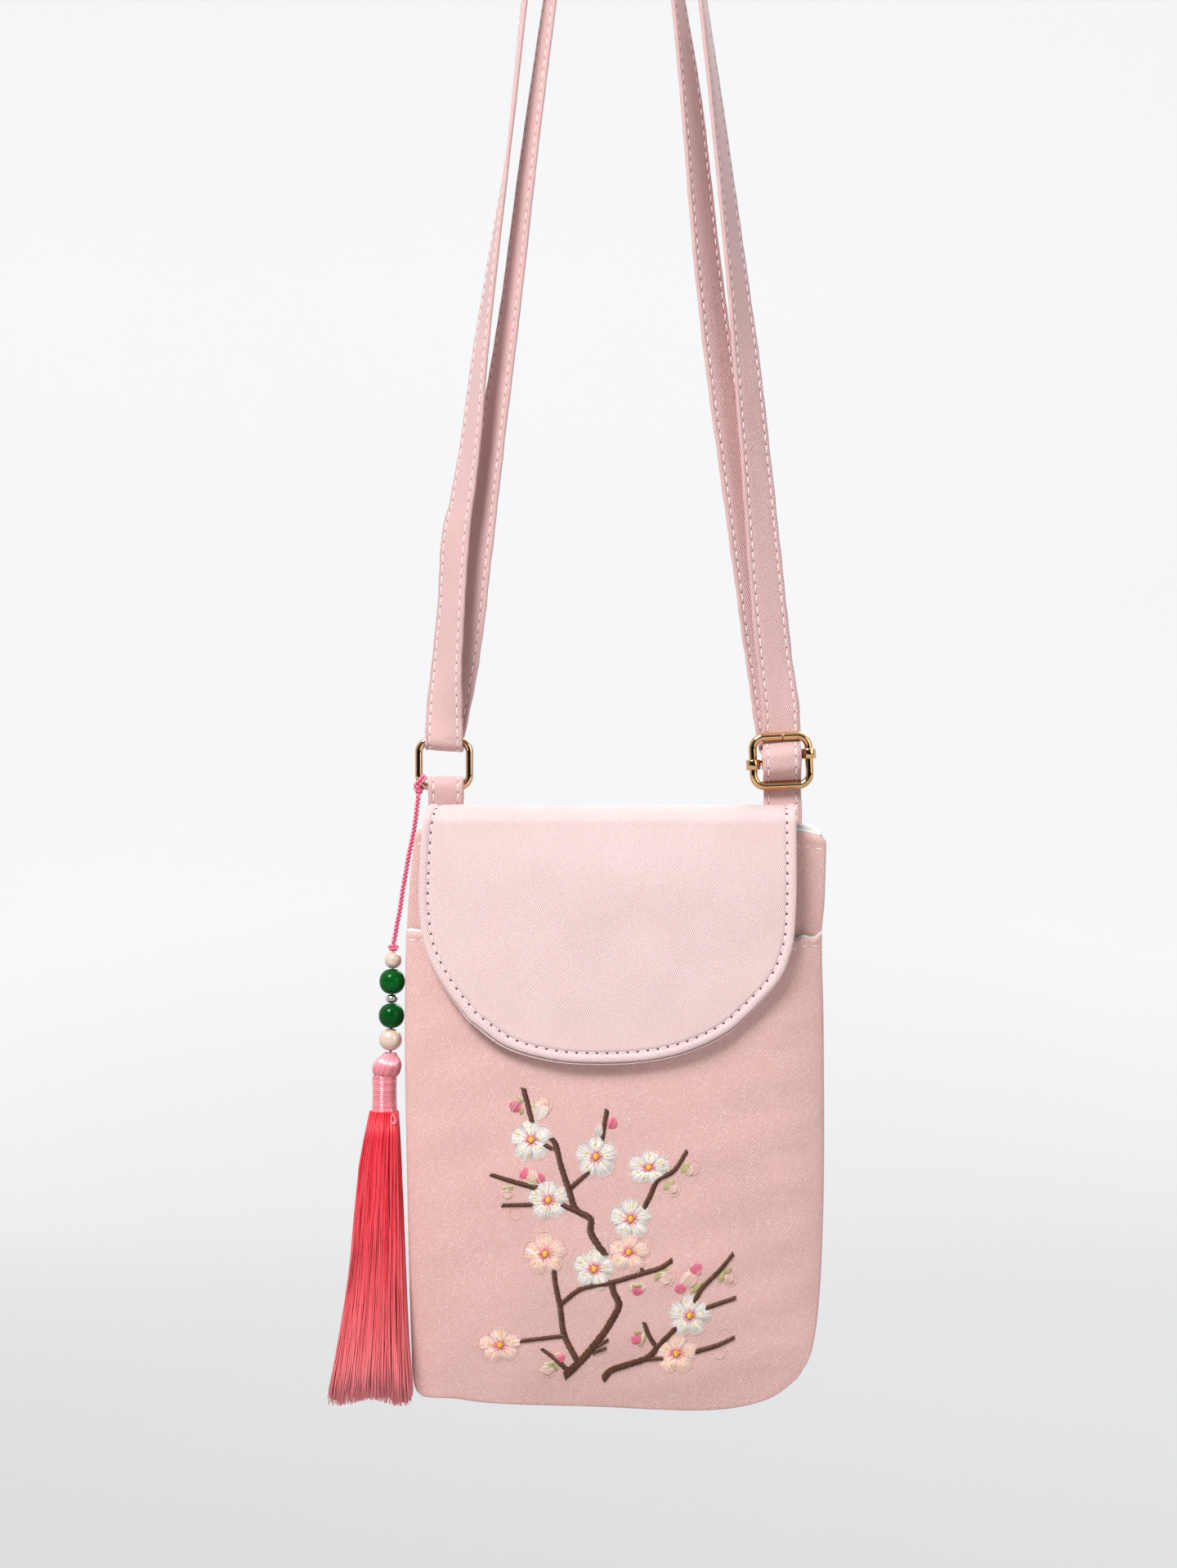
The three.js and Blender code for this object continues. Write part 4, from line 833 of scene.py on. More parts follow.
def new_group(name, kind, inputs, outputs):
    """A new node group, with its wiring and the sockets of its input and output nodes."""
    tree = bpy.data.node_groups.new(name, kind)
    for label, socket_type, value in inputs:
        socket = tree.interface.new_socket(label, in_out="INPUT", socket_type="NodeSocket" + socket_type)
        if value is not None:
            socket.default_value = value
    for label, socket_type in outputs:
        tree.interface.new_socket(label, in_out="OUTPUT", socket_type="NodeSocket" + socket_type)
    nodes = tree.nodes
    return tree, Wiring(tree), nodes.new("NodeGroupInput").outputs, nodes.new("NodeGroupOutput").inputs


def once(name, build):
    return bpy.data.node_groups.get(name) or build(name)


def twill_group(name):
    """Slanted twill lines crossed by a weaker set, and bright flecks: pale spots of the weave, painted bright
    as glints of its sparkle.
    """
    tree, w, given, out = new_group(
        name, "ShaderNodeTree",
        [("Vector", "Vector", None), ("Period", "Float", 0.61), ("Slant", "Float", 1.12)],
        [("Lines", "Float"), ("Flecks", "Float")])
    x, y, _ = w.add("ShaderNodeSeparateXYZ", {0: given["Vector"]}, None)
    right = w.maths("MULTIPLY", x, w.maths("SINE", given["Slant"]))
    up = w.maths("MULTIPLY", y, w.maths("COSINE", given["Slant"]))
    stray = w.span(w.noise(given["Vector"], 0.12), 0.0, 1.0, -0.12, 0.12)

    def ridges(operation):
        step = w.maths("DIVIDE", w.maths("ADD", w.maths(operation, right, up), stray), given["Period"])
        return w.maths("SINE", w.maths("MULTIPLY", step, 2 * math.pi))

    both = w.maths("ADD", ridges("SUBTRACT"), w.maths("MULTIPLY", ridges("ADD"), 0.25))
    stretched = w.add("ShaderNodeMapping", {"Vector": given["Vector"], "Scale": (0.7, 2.6, 1.0)})
    w.put(out["Lines"], w.span(both, -1.1, 1.1))
    w.put(out["Flecks"], w.span(w.noise(stretched, 1.7, 1.0), 0.57, 0.68))
    return tree


def mottle_group(name):
    """Slow, cloudy changes of shade, and a fine grain."""
    tree, w, given, out = new_group(
        name, "ShaderNodeTree", [("Vector", "Vector", None), ("Scale", "Float", 0.05)],
        [("Cloud", "Float"), ("Grain", "Float")])
    w.put(out["Cloud"], w.span(w.noise(given["Vector"], given["Scale"], 3.0), 0.3, 0.7))
    w.put(out["Grain"], w.noise(given["Vector"], w.maths("MULTIPLY", given["Scale"], 40.0), 4.0))
    return tree


def fibre_group(name):
    """Tone of single threads, with fine fibres in each."""
    tree, w, given, out = new_group(
        name, "ShaderNodeTree",
        [("Vector", "Vector", None), ("Tone", "Float", 0.5), ("Fibre Scale", "Float", 3000.0)],
        [("Shade", "Float"), ("Fibres", "Float")])
    fibres = w.noise(given["Vector"], given["Fibre Scale"])
    tone = w.maths("MULTIPLY", given["Tone"], 0.75)
    w.put(out["Fibres"], fibres)
    w.put(out["Shade"], w.maths("ADD", tone, w.maths("MULTIPLY", fibres, 0.25)))
    return tree


def new_material(name, **constants):
    """A material with a Principled shader; constants are set on the shader's own sockets."""
    material = bpy.data.materials.new(name)
    material.use_nodes = True
    shader = material.node_tree.nodes["Principled BSDF"]
    for key, value in constants.items():
        shader.inputs[key.replace("_", " ")].default_value = value
    return material, shader.inputs, Wiring(material.node_tree)


def shade(colour, factor):
    return tuple(min(c * factor, 1.0) for c in colour) + (1.0,)


def paler(colour, share):
    return tuple(c + (1.0 - c) * share for c in colour) + (1.0,)


def cloth_material(name, colour, fleck, deep, slant=1.12, depth=0.00012, rough=0.62, period=None):
    """Twill with slanted lines, cloudy shades and pale flecks, partly pale spots in the weave and partly
    painted glints of sparkle.
    """
    material, shader, w = new_material(name, Sheen_Weight=0.3, Sheen_Roughness=0.4, Specular_IOR_Level=0.35)
    place = w.attribute("weave", "Vector")
    period = (period or cloth().twill_period) / MM
    weave = w.group(once("Twill weave", twill_group), Vector=place, Period=period, Slant=slant)
    cloud = w.mottle(place, 0.045)
    base = w.mix(cloud["Cloud"], shade(colour, 0.95), shade(colour, 1.06))
    base = w.mix(weave["Lines"], shade(colour, deep), base)
    # Flecks: paler, less rough spots, partly pale spots in the weave, partly painted glints of the satin's
    # sparkle.
    base = w.mix(w.maths("MULTIPLY", weave["Flecks"], fleck), base, paler(colour, 0.6))
    height = w.maths("ADD", weave["Lines"], w.maths("MULTIPLY", cloud["Grain"], 0.3))
    w.put(shader["Base Color"], base)
    w.put(shader["Roughness"], w.span(weave["Flecks"], 0.0, 1.0, rough, rough - 0.2))
    w.put(shader["Normal"], w.bump(height, depth, 0.8))
    return material


def thread_material(name, colour, dark, pale=1.0, tip=None, rough=0.42, gloss=0.5, sheen=0.15, coat=0.0):
    """Silk or cotton thread between a dark and a pale shade; a tip colour, where given, is the pale one."""
    material, shader, w = new_material(name, Sheen_Weight=sheen, Specular_IOR_Level=gloss, Coat_Weight=coat,
                                       Coat_Roughness=0.14)
    fibres = w.group(once("Silk fibres", fibre_group), Vector=w.place(), Tone=w.attribute("tone", "Fac"))
    light = shade(colour if tip is None else tip, pale)
    w.put(shader["Base Color"], w.mix(fibres["Shade"], shade(colour, dark), light))
    w.put(shader["Roughness"], w.span(fibres["Fibres"], 0.3, 0.7, rough - 0.1, rough + 0.12))
    w.put(shader["Normal"], w.bump(fibres["Fibres"], 0.00005, 0.5))
    return material


def smooth_material(name, colour, shades, rough, scale=180.0, rim=None, **constants):
    """Metal, glass or pearl with cloudy shades; a rim colour, where given, is painted shade where the surface
    turns away from the eye.
    """
    material, shader, w = new_material(name, **constants)
    cloud = w.mottle(w.place(), scale)
    share, first, second = cloud["Cloud"], shade(colour, shades[0]), shade(colour, shades[1])
    if rim is not None:
        # Painted shade: the rim colour darkens the surface where it turns away from the eye; the cloud then
        # counts for less.
        first = w.mix(w.add("ShaderNodeLayerWeight", {"Blend": 0.35}, "Facing"), first, shade(rim, 1.0))
        share = w.maths("MULTIPLY", share, 0.3)
    w.put(shader["Base Color"], w.mix(share, first, second))
    w.put(shader["Roughness"], w.span(cloud["Cloud"], 0.0, 1.0, *rough))
    w.put(shader["Normal"], w.bump(cloud["Grain"], 0.00001, 0.2))
    return material


def finish_looks():
    """How each finish is made: its maker, its colour and the maker's settings."""
    c, t, k, m = cloth(), thread(), charm(), bpy.context.scene.bag_metal
    wire = dict(shades=(0.9, 1.06), rough=(m.roughness * 0.6, m.roughness * 1.4), scale=260.0, Metallic=1.0)
    silver = dict(shades=(0.85, 1.05), rough=(0.18, 0.34), Metallic=1.0)
    pearl = dict(shades=(1.05, 0.9), rough=(0.2, 0.3), rim=k.pearl_rim_shade, Coat_Weight=1.0, Coat_Roughness=0.09,
                 Specular_IOR_Level=1.0)
    glass = dict(shades=(0.8, 1.35), rough=(0.08, 0.16), Coat_Weight=0.14, Coat_Roughness=0.03,
                 Specular_IOR_Level=0.06)
    plain_weave = dict(fleck=0.1, deep=0.86, slant=1.57, depth=0.00006, rough=0.75, period=0.4 * MM)
    looks = {
        "body twill": (cloth_material, c.body, dict(fleck=0.42, deep=0.74)),
        "flap twill": (cloth_material, c.flap, dict(fleck=0.12, deep=0.68)),
        "strap twill": (cloth_material, c.strap, dict(fleck=0.1, deep=0.68, slant=1.08)),
        "lining cloth": (cloth_material, c.lining, plain_weave),
        "gold wire": (smooth_material, m.gold, wire), "rose wire": (smooth_material, m.rose, wire),
        "pearl bead": (smooth_material, k.pearl, pearl), "green bead": (smooth_material, k.green, glass),
        "silver bead": (smooth_material, k.silver, silver),
        # The dark dots between stitches: painted shadow in the holes the needle made.
        "needle hole": (thread_material, t.shade, dict(dark=0.8, pale=1.1, rough=0.9, gloss=0.1, sheen=0.0)),
        "branch silk": (thread_material, t.branch, dict(dark=0.5, pale=1.7, rough=0.4, sheen=0.0)),
        # The tassel's pale tip colour is painted light on the strand ends.
        "tassel silk": (thread_material, k.silk,
                        dict(dark=1.0, tip=k.silk_pale, rough=0.32, gloss=0.4, sheen=0.0)),
        # Bound silk's pale end, twice its colour, is the knob's painted highlight and the pale binding loop.
        "bound silk": (thread_material, k.bound,
                       dict(dark=0.62, pale=2.0, rough=0.2, gloss=1.0, sheen=0.0, coat=0.7)),
    }
    plain_threads = {
        "stitch thread": (t.white, 0.86, 1.04), "white silk": (t.petal, 0.52, 1.1),
        "peach silk": (t.peach, 0.72, 1.1), "cream silk": (t.cream, 0.75, 1.05),
        "pink silk": (t.pink, 0.7, 1.4), "green silk": (t.green, 0.7, 1.3),
        "yellow silk": (t.yellow, 0.7, 1.15), "lime silk": (t.lime, 0.75, 1.1),
        "cord silk": (k.cord, 0.7, 1.2), "cord pale silk": (k.cord_pale, 0.8, 1.15),
    }
    for name, (colour, dark, pale) in plain_threads.items():
        looks[name] = (thread_material, colour, dict(dark=dark, pale=pale))
    return looks


def finish_named(name):
    """The bag's materials, each made once."""
    found = bpy.data.materials.get(name)
    if found:
        return found
    maker, colour, settings = finish_looks()[name]
    return maker(name, colour, **settings)


# Geometry Nodes trees.
def named(w, label):
    """A vector attribute of the points."""
    return w.add("GeometryNodeInputNamedAttribute", {"Name": label}, "Attribute", data_type="FLOAT_VECTOR")


def facing(w, along, out):
    """A rotation whose X runs along and whose Z points out."""
    first = w.add("FunctionNodeAlignRotationToVector", {"Vector": along}, axis="X")
    return w.add("FunctionNodeAlignRotationToVector", {"Rotation": first, "Vector": out}, axis="Z",
                 pivot_axis="X")


def arched_thread(w, rise):
    """One laid thread: length 1 along X, width 1, its middle lifted."""
    line = w.add("GeometryNodeCurvePrimitiveLine", {"Start": (-0.5, 0.0, 0.0), "End": (0.5, 0.0, 0.0)})
    steps = w.add("GeometryNodeResampleCurve", {"Curve": line, "Count": 5})
    ring = w.add("GeometryNodeCurvePrimitiveCircle", {"Resolution": 5, "Radius": 0.5})
    skin = w.add("GeometryNodeCurveToMesh", {"Curve": steps, "Profile Curve": ring, "Fill Caps": True})
    x = w.add("ShaderNodeSeparateXYZ", {0: w.add("GeometryNodeInputPosition")})
    bend = w.maths("MULTIPLY", w.maths("POWER", w.maths("ABSOLUTE", x), 2.0), -4.0 * rise)
    lift = sized(w, 0.0, 0.0, w.maths("ADD", bend, rise - 0.35))
    return w.add("GeometryNodeSetPosition", {"Geometry": skin, "Offset": lift})


def sized(w, x, y, z):
    return w.add("ShaderNodeCombineXYZ", {0: x, 1: y, 2: z})


def instanced(w, points, instance, turn, scale):
    values = {"Points": points, "Instance": instance, "Rotation": turn, "Scale": scale}
    return w.add("GeometryNodeInstanceOnPoints", values)


def realised(w, geometry, material):
    real = w.add("GeometryNodeRealizeInstances", {0: geometry})
    return w.add("GeometryNodeSetMaterial", {"Geometry": real, "Material": material})


def spaced(w, curve, pitch):
    """Points along a curve, one pitch apart."""
    return w.add("GeometryNodeResampleCurve", {"Curve": curve, "Length": pitch}, mode="LENGTH")


# The trim node's inputs for a start and an end given as lengths.
TRIM_START = 4
TRIM_END = 5


def topstitch_tree(name):
    """Stitches along lines, with a dark dot between each two: painted shadow in the hole the needle made."""
    sizes = [(label, "Float", None) for label in ("Pitch", "Stitch Length", "Thread Width", "Hole Width")]
    tree, w, given, out = new_group(
        name, "GeometryNodeTree",
        [("Geometry", "Geometry", None), *sizes, ("Thread", "Material", None), ("Hole", "Material", None)],
        [("Geometry", "Geometry")])
    curve = w.add("GeometryNodeMeshToCurve", {0: given["Geometry"]})
    half = w.maths("MULTIPLY", given["Pitch"], 0.5)
    end = w.maths("SUBTRACT", w.add("GeometryNodeSplineLength", output="Length"), half)
    between = w.add("GeometryNodeTrimCurve", {"Curve": curve, TRIM_START: half, TRIM_END: end}, mode="LENGTH")
    turn = facing(w, w.add("GeometryNodeInputTangent"), named(w, "out"))
    scale = sized(w, given["Stitch Length"], given["Thread Width"], given["Thread Width"])
    stitches = instanced(w, spaced(w, curve, given["Pitch"]), arched_thread(w, 0.55), turn, scale)
    # The flattened dark dots are painted shadow in the holes between stitches.
    dot = w.add("GeometryNodeMeshUVSphere", {"Segments": 7, "Rings": 3, "Radius": 0.5}, "Mesh")
    flat = sized(w, given["Hole Width"], given["Hole Width"], w.maths("MULTIPLY", given["Hole Width"], 0.45))
    holes = instanced(w, spaced(w, between, given["Pitch"]), dot, turn, flat)
    both = tree.nodes.new("GeometryNodeJoinGeometry")
    w.put(both.inputs[0], realised(w, holes, given["Hole"]))
    w.put(both.inputs[0], realised(w, stitches, given["Thread"]))
    w.put(out["Geometry"], both.outputs[0])
    return tree


def laid_tree(name):
    """One laid thread on each point, with its own direction and size."""
    tree, w, given, out = new_group(name, "GeometryNodeTree",
                                    [("Geometry", "Geometry", None), ("Material", "Material", None)],
                                    [("Geometry", "Geometry")])
    turn = facing(w, named(w, "along"), named(w, "out"))
    threads = instanced(w, given["Geometry"], arched_thread(w, 0.9), turn, named(w, "size"))
    w.put(out["Geometry"], realised(w, threads, given["Material"]))
    return tree


def grown(name, source, tree, values):
    """Evaluates a node tree on a source mesh and returns the result as a plain mesh."""
    obj = new_object(name + "_source", source)
    modifier = obj.modifiers.new(tree.name, "NODES")
    modifier.node_group = tree
    for item in tree.interface.items_tree:
        if item.in_out == "INPUT" and item.name in values:
            modifier[item.identifier] = values[item.name]
    done = obj.evaluated_get(bpy.context.evaluated_depsgraph_get())
    mesh = bpy.data.meshes.new_from_object(done)
    bpy.data.objects.remove(obj)
    bpy.data.meshes.remove(source)
    if not len(mesh.polygons):
        raise RuntimeError(name + " came out empty")
    mesh.name = name
    return smooth_shaded(mesh)


def stitched(name, lines, pitch=None, hole=1.0):
    """Topstitches along lines; a line is its points and its outward directions."""
    verts = np.vstack([points for points, _ in lines])
    outs = np.vstack([out for _, out in lines])
    edges, start = [], 0
    for points, _ in lines:
        edges += [(start + k, start + k + 1) for k in range(len(points) - 1)]
        start += len(points)
    source = bpy.data.meshes.new(name + "_lines")
    source.from_pydata((verts * MM).tolist(), edges, [])
    put_vectors(source, "out", outs)
    t = thread()
    pitch = t.pitch if pitch is None else pitch * MM
    mesh = grown(name, source, once("Topstitch", topstitch_tree), {
        "Pitch": pitch, "Stitch Length": t.stitch * pitch, "Thread Width": t.width,
        "Hole Width": t.hole * hole, "Thread": finish_named("stitch thread"),
        "Hole": finish_named("needle hole")})
    put_values(mesh, "tone", np.full(len(mesh.vertices), 0.6))
    return settle(name, mesh)


def laid(name, rows, material):
    """Laid threads; rows are place, direction, outward direction, length, width, height and tone."""
    source = bpy.data.meshes.new(name + "_points")
    source.from_pydata([tuple(row[0] * MM) for row in rows], [], [])
    put_vectors(source, "along", [row[1] for row in rows])
    put_vectors(source, "out", [row[2] for row in rows])
    put_vectors(source, "size", [(row[3] * MM, row[4] * MM, row[5] * MM) for row in rows])
    put_values(source, "tone", [row[6] for row in rows])
    mesh = grown(name, source, once("Laid thread", laid_tree), {"Material": finish_named(material)})
    return settle(name, mesh)


# Cloth pieces.
CORNER_RADIUS = 1.8
# Soft waves: their lengths, and the distance from an edge over which a wall's waves grow.
WALL_WAVE = 34.0
RIM_WAVE = 14.0
POCKET_WAVE = 30.0
FLAP_WAVE = 36.0
WAVE_EASE = 12.0
# Fine creases near the pocket's right seam: height, pitch, slant, place and spread.
CREASES = (0.04, 6.5, 0.05, 58.0, 14.0)


def round_corners(points, u, v):
    """Rounds the two upper corners of a wall panel."""
    for side, distance in ((-1, u * SPAN_WIDTH), (1, (1 - u) * SPAN_WIDTH)):
        a = np.clip(1 - distance / CORNER_RADIUS, 0, 1)
        b = np.clip(1 - (1 - v) * POUCH_HEIGHT / CORNER_RADIUS, 0, 1)
        points[..., 0] -= side * CORNER_RADIUS * a * (1 - np.sqrt(1 - b * b / 2))
        points[..., 2] -= CORNER_RADIUS * b * (1 - np.sqrt(1 - a * a / 2))
    return points


WALL_SEED = {"front": 3, "back": 4}
RIM_SEED = {"front": 41, "back": 42}
RIM_SPAN = (0.018, 0.982)


def wall_panel(side):
    """Front or back wall of the pouch: rolled edges, a stitched hem at the mouth and soft waves."""
    half = SEAM_HALF / 2
    u, v = np.meshgrid(graded(96, half, SPAN_WIDTH), graded(120, half, POUCH_HEIGHT))
    edge = edge_distance(u, v, SPAN_WIDTH, POUCH_HEIGHT)
    middle = round_corners(wall_point(side, u, v, half), u, v)
    out = -1.0 if side == "front" else 1.0
    soft = cloth().swell / MM * np.clip(edge / WAVE_EASE, 0, 1)
    wave = soft * waves(middle[..., 0], middle[..., 2] * 1.6, WALL_WAVE, WALL_SEED[side])
    turned = hem((1 - v) * POUCH_HEIGHT, *MOUTH_HEM) * np.clip(edge / 1.2, 0, 1)
    half_here = half * roll(edge, half)
    front, back = middle.copy(), middle.copy()
    front[..., 1] += out * (half_here + wave + turned)
    back[..., 1] += out * (-half_here + wave * np.clip(edge / 3, 0, 1))
    back[edge < 1e-9] = front[edge < 1e-9]
    return front, back, flat_weave(middle) * (-out, 1.0, 1.0)


class BAG_OT_pouch(bpy.types.Operator):
    """Makes the pouch's two walls and its white lining"""
    bl_idname = "bag.pouch"
    bl_label = "Pouch and lining"

    def execute(self, context):
        for side in ("front", "back"):
            add_cloth("pouch_" + side, *wall_panel(side), "body twill", "twill_pink", ["pouch"])
            self.lining(side)
        self.rim()
        return {"FINISHED"}

    def lining(self, side):
        """One wall of the lining, which rises a little above the mouth."""
        share_u, share_v = LINING_EDGE / SPAN_WIDTH, LINING_EDGE / POUCH_HEIGHT
        top = 1 + LINING_RISE / POUCH_HEIGHT
        i, j = np.meshgrid(graded(70, LINING_HALF, SPAN_WIDTH), graded(80, LINING_HALF, POUCH_HEIGHT))
        u, v = share_u + (1 - 2 * share_u) * i, share_v + (top - share_v) * j
        middle = wall_point(side, u, v, LINING_INWARD)
        rim = bell((1 - j) * POUCH_HEIGHT, 6.0)
        middle[..., 2] += rim * 0.35 * waves(middle[..., 0], middle[..., 1] * 0, 18.0, 8)
        half = LINING_HALF * roll(edge_distance(i, j, SPAN_WIDTH, POUCH_HEIGHT), LINING_HALF)
        add_lining("lining_" + side, middle, half, ["lining"])

    def rim(self):
        """The lining's folded edge, round the whole mouth."""
        u = np.linspace(*RIM_SPAN, 90)
        top = np.ones_like(u)
        halves = []
        for side, seed in RIM_SEED.items():
            inward = np.minimum(RIM_INWARD, wall_depth(side, u, top) - RIM_ROOM)
            line = round_corners(wall_point(side, u, top, inward), u, top)
            line[:, 2] += 0.35 + 0.2 * waves(line[:, 0], line[:, 0] * 0, RIM_WAVE, seed)
            halves.append(line)
        verts, faces = tube(np.vstack([halves[0], halves[1][::-1]]), RIM_RADIUS, 10, closed=True)
        add_piece("lining_rim", (verts, faces), "lining cloth", "lining_white", weave=flat_weave(verts))


def pocket_height(x, z):
    """Soft waves and fine creases of the pocket panel, outward."""
    wave = cloth().swell / MM * waves(x, z * 1.8, POCKET_WAVE, 11)
    height, pitch, slant, place, spread = CREASES
    return wave + height * np.sin(2 * math.pi * z / pitch + slant * x) * bell(x - place, spread)


class BAG_OT_pocket(bpy.types.Operator):
    """Makes the slip pocket and the white edge of its lining"""
    bl_idname = "bag.pocket"
    bl_label = "Slip pocket"

    def execute(self, context):
        half = POCKET_WALL / 2
        i, j = np.meshgrid(graded(150, half, SPAN_WIDTH), graded(150, half, POCKET_HEIGHT))
        edge = edge_distance(i, j, SPAN_WIDTH, POCKET_HEIGHT)
        middle = pocket_point(i, j * (1 - POCKET_DROP / POCKET_HEIGHT), half)
        ease = np.clip(edge / POCKET_EASE, 0, 1)
        turned = hem((1 - j) * POCKET_HEIGHT, *POCKET_HEM) * np.clip(edge, 0, 1)
        bulk = pocket_height(middle[..., 0], middle[..., 2]) * ease + turned
        front, back = middle.copy(), middle.copy()
        front[..., 1] -= half * roll(edge, half) + bulk
        back[..., 1] += half * roll(edge, half) - np.maximum(bulk, 0) * ease
        back[edge < 1e-9] = front[edge < 1e-9]
        weave = flat_weave(middle)
        add_cloth("slip_pocket", front, back, weave, "body twill", "twill_pink", ["front_pocket"])
        self.lining_edge()
        return {"FINISHED"}

    def lining_edge(self):
        """The white strip of the pocket's lining, a little frayed, behind its top hem."""
        i, j = np.meshgrid(graded(260, STRIP_ROLL, SPAN_WIDTH), np.linspace(0, 1, 9))
        fray = 0.25 * waves(i * SPAN_WIDTH, j * 0, 5.0, 21) + 0.15
        middle = pocket_point(i, np.ones_like(i), -0.2)
        middle[..., 2] += -STRIP_START + (STRIP_START + fray) * j
        middle[..., 1] -= 0.25 * bell((1 - j) * STRIP_HEIGHT, 1.2) * waves(i * SPAN_WIDTH, j * 0, 7.0, 22)
        half = STRIP_HALF * roll(edge_distance(i, j, SPAN_WIDTH, STRIP_HEIGHT), STRIP_ROLL)
        add_lining("pocket_lining_edge", middle, half)


RIM_STEPS = np.array([0, 0.08, 0.25, 0.5, 0.8, 1.2, 1.6, 2.0, 2.3, 2.6, 2.8, 3.0, 3.2, 3.45, 3.8, 4.3, 5.0,
                      6.0])
# The flap's round part: where it starts below the hub, and its reach; rows of the grid and rays of its fan.
ROUND_START = 5.0
ROUND_REACH = 30.0
FLAP_ROWS = 84
FLAP_FAN = 190


def below_hub(fall):
    """How far down the round part of the flap a place lies, from 0 to 1."""
    return np.clip((FLAP_HUB[1] - ROUND_START - fall) / ROUND_REACH, 0, 1)


def flap_grid(grow):
    """Flap points laid flat, with their distance from outline and root; grow moves the round outline out."""
    outer, inner = flap_rays(FLAP_ROWS, FLAP_FAN)
    outer = outer - unit(inner - outer) * grow * below_hub(outer[:, 1:])
    ray = inner - outer
    reach = np.linalg.norm(ray, axis=1, keepdims=True)
    share = np.linspace(0, 1, 26)[None, 1:]
    inward = np.hstack([np.tile(RIM_STEPS, (len(outer), 1)), RIM_STEPS[-1] + (reach - RIM_STEPS[-1]) * share])
    flat = outer[:, None] + ray[:, None] * (inward / reach)[..., None]
    return flat, inward, FLAP_ROOT - flat[..., 1]


def flap_outside(inward, root, x, fall):
    """Height of the flap's outer face over its inner face, with the rolled rim and the stitched groove."""
    soft = cloth().swell / MM * 0.9 * np.clip(inward / 14, 0, 1) * waves(x, fall * 1.3, FLAP_WAVE, 31)
    return COVER_TOP + hem(inward, FLAP_SWELL, FLAP_GROOVE, root > 2 * FLAP_STITCH) + soft


class BAG_OT_flap(bpy.types.Operator):
    """Makes the rounded flap and its facing"""
    bl_idname = "bag.flap"
    bl_label = "Flap"

    def execute(self, context):
        flat, inward, root = grid = flap_grid(COVER_GROW)
        high = flap_outside(inward, root, flat[..., 0], flat[..., 1])
        obj = self.layer("flap_cover", grid, COVER_START, high, 0.0, COVER_ROLL, "flap")
        flat, inward, _ = grid = flap_grid(FACING_GROW)
        curl = FACING_CURL * below_hub(flat[:, :1, 1]) * np.clip(1 - inward / 0.95, 0, 1) ** 0.5
        self.layer("flap_lining", grid, 0.0, FACING_WALL, curl, FACING_ROLL, "flap_facing")
        return {"FINISHED"}

    def layer(self, name, grid, low, high, curl, radius, node):
        """One layer of the flap between two heights, with a rolled edge; curl lifts its rim."""
        flat, inward, root = grid
        x, fall = flat[..., 0], flat[..., 1]
        middle = (high + low) / 2 + curl
        half = (high - low) / 2 * roll(np.minimum(inward, np.maximum(root, 0)), radius)
        weave = np.stack([x, fall, np.zeros_like(x)], -1)
        return add_cloth(name, flap_point(x, fall, middle + half), flap_point(x, fall, middle - half), weave,
                         "flap twill", "flap_pink", [node], weld=0.002)


# Strap.
def arc_rows(centre, radius, first, last, turn, lean):
    """Strap stations round a wire."""
    x, y, z = centre
    angles = np.radians(np.linspace(first, last, WRAP_STEPS + 1))
    return [(x, y + radius * math.cos(a), z + radius * math.sin(a), turn, lean) for a in angles]


def strap_rows():
    """All stations of the strap, from its end behind the slider to its end at the right seam."""
    angles = np.radians(np.linspace(INNER_LOOP.first, INNER_LOOP.last, INNER_LOOP.steps + 1))
    loop = [(INNER_LOOP.radius * math.cos(a), 0.0, INNER_LOOP.z + INNER_LOOP.radius * math.sin(a), 90, 0)
            for a in angles]
    wire = (RING.x, RING.y, RING.z + RING.height / 2)
    return [*SLIDER_TAIL, *RISE_INNER_RIGHT, *loop, *FALL_INNER_LEFT,
            *arc_rows(wire, RING_WRAP, 0, -180, 180, FOLD_LEAN),
            *RISE_OUTER_LEFT, *OUTER_LOOP, *FALL_OUTER_RIGHT, *SLIDER_PASS]


def tab_rows():
    """All stations of the tab, down its front, round the ring and down its back."""
    wire = (TAB_FRONT[-1][0], RING.y, RING.z - RING.height / 2)
    return [*TAB_FRONT, *arc_rows(wire, TAB_WRAP, 180, 0, 0, 0), *TAB_BACK]


def strap_course(rows, per):
    """Middle line of a strap, with its edge and face directions."""
    rows = np.asarray(rows, float)
    line = smooth_line(rows[:, :3], per)
    at = np.arange(len(line)) / per
    turn, lean = (np.radians(np.interp(at, np.arange(len(rows)), rows[:, k])) for k in (3, 4))
    ahead = unit(np.gradient(line, axis=0))
    edge = np.stack([np.cos(turn) * np.cos(lean), np.sin(turn) * np.cos(lean), np.sin(lean)], -1)
    edge = unit(edge - ahead * np.sum(edge * ahead, axis=1, keepdims=True))
    return line, edge, np.cross(edge, ahead)


STITCH_INSET = 1.75
STITCH_START = 1.6
# Uneven width of a strap: share and length of two waves.
PUCKER = ((0.012, 9.7), (0.01, 23.1))


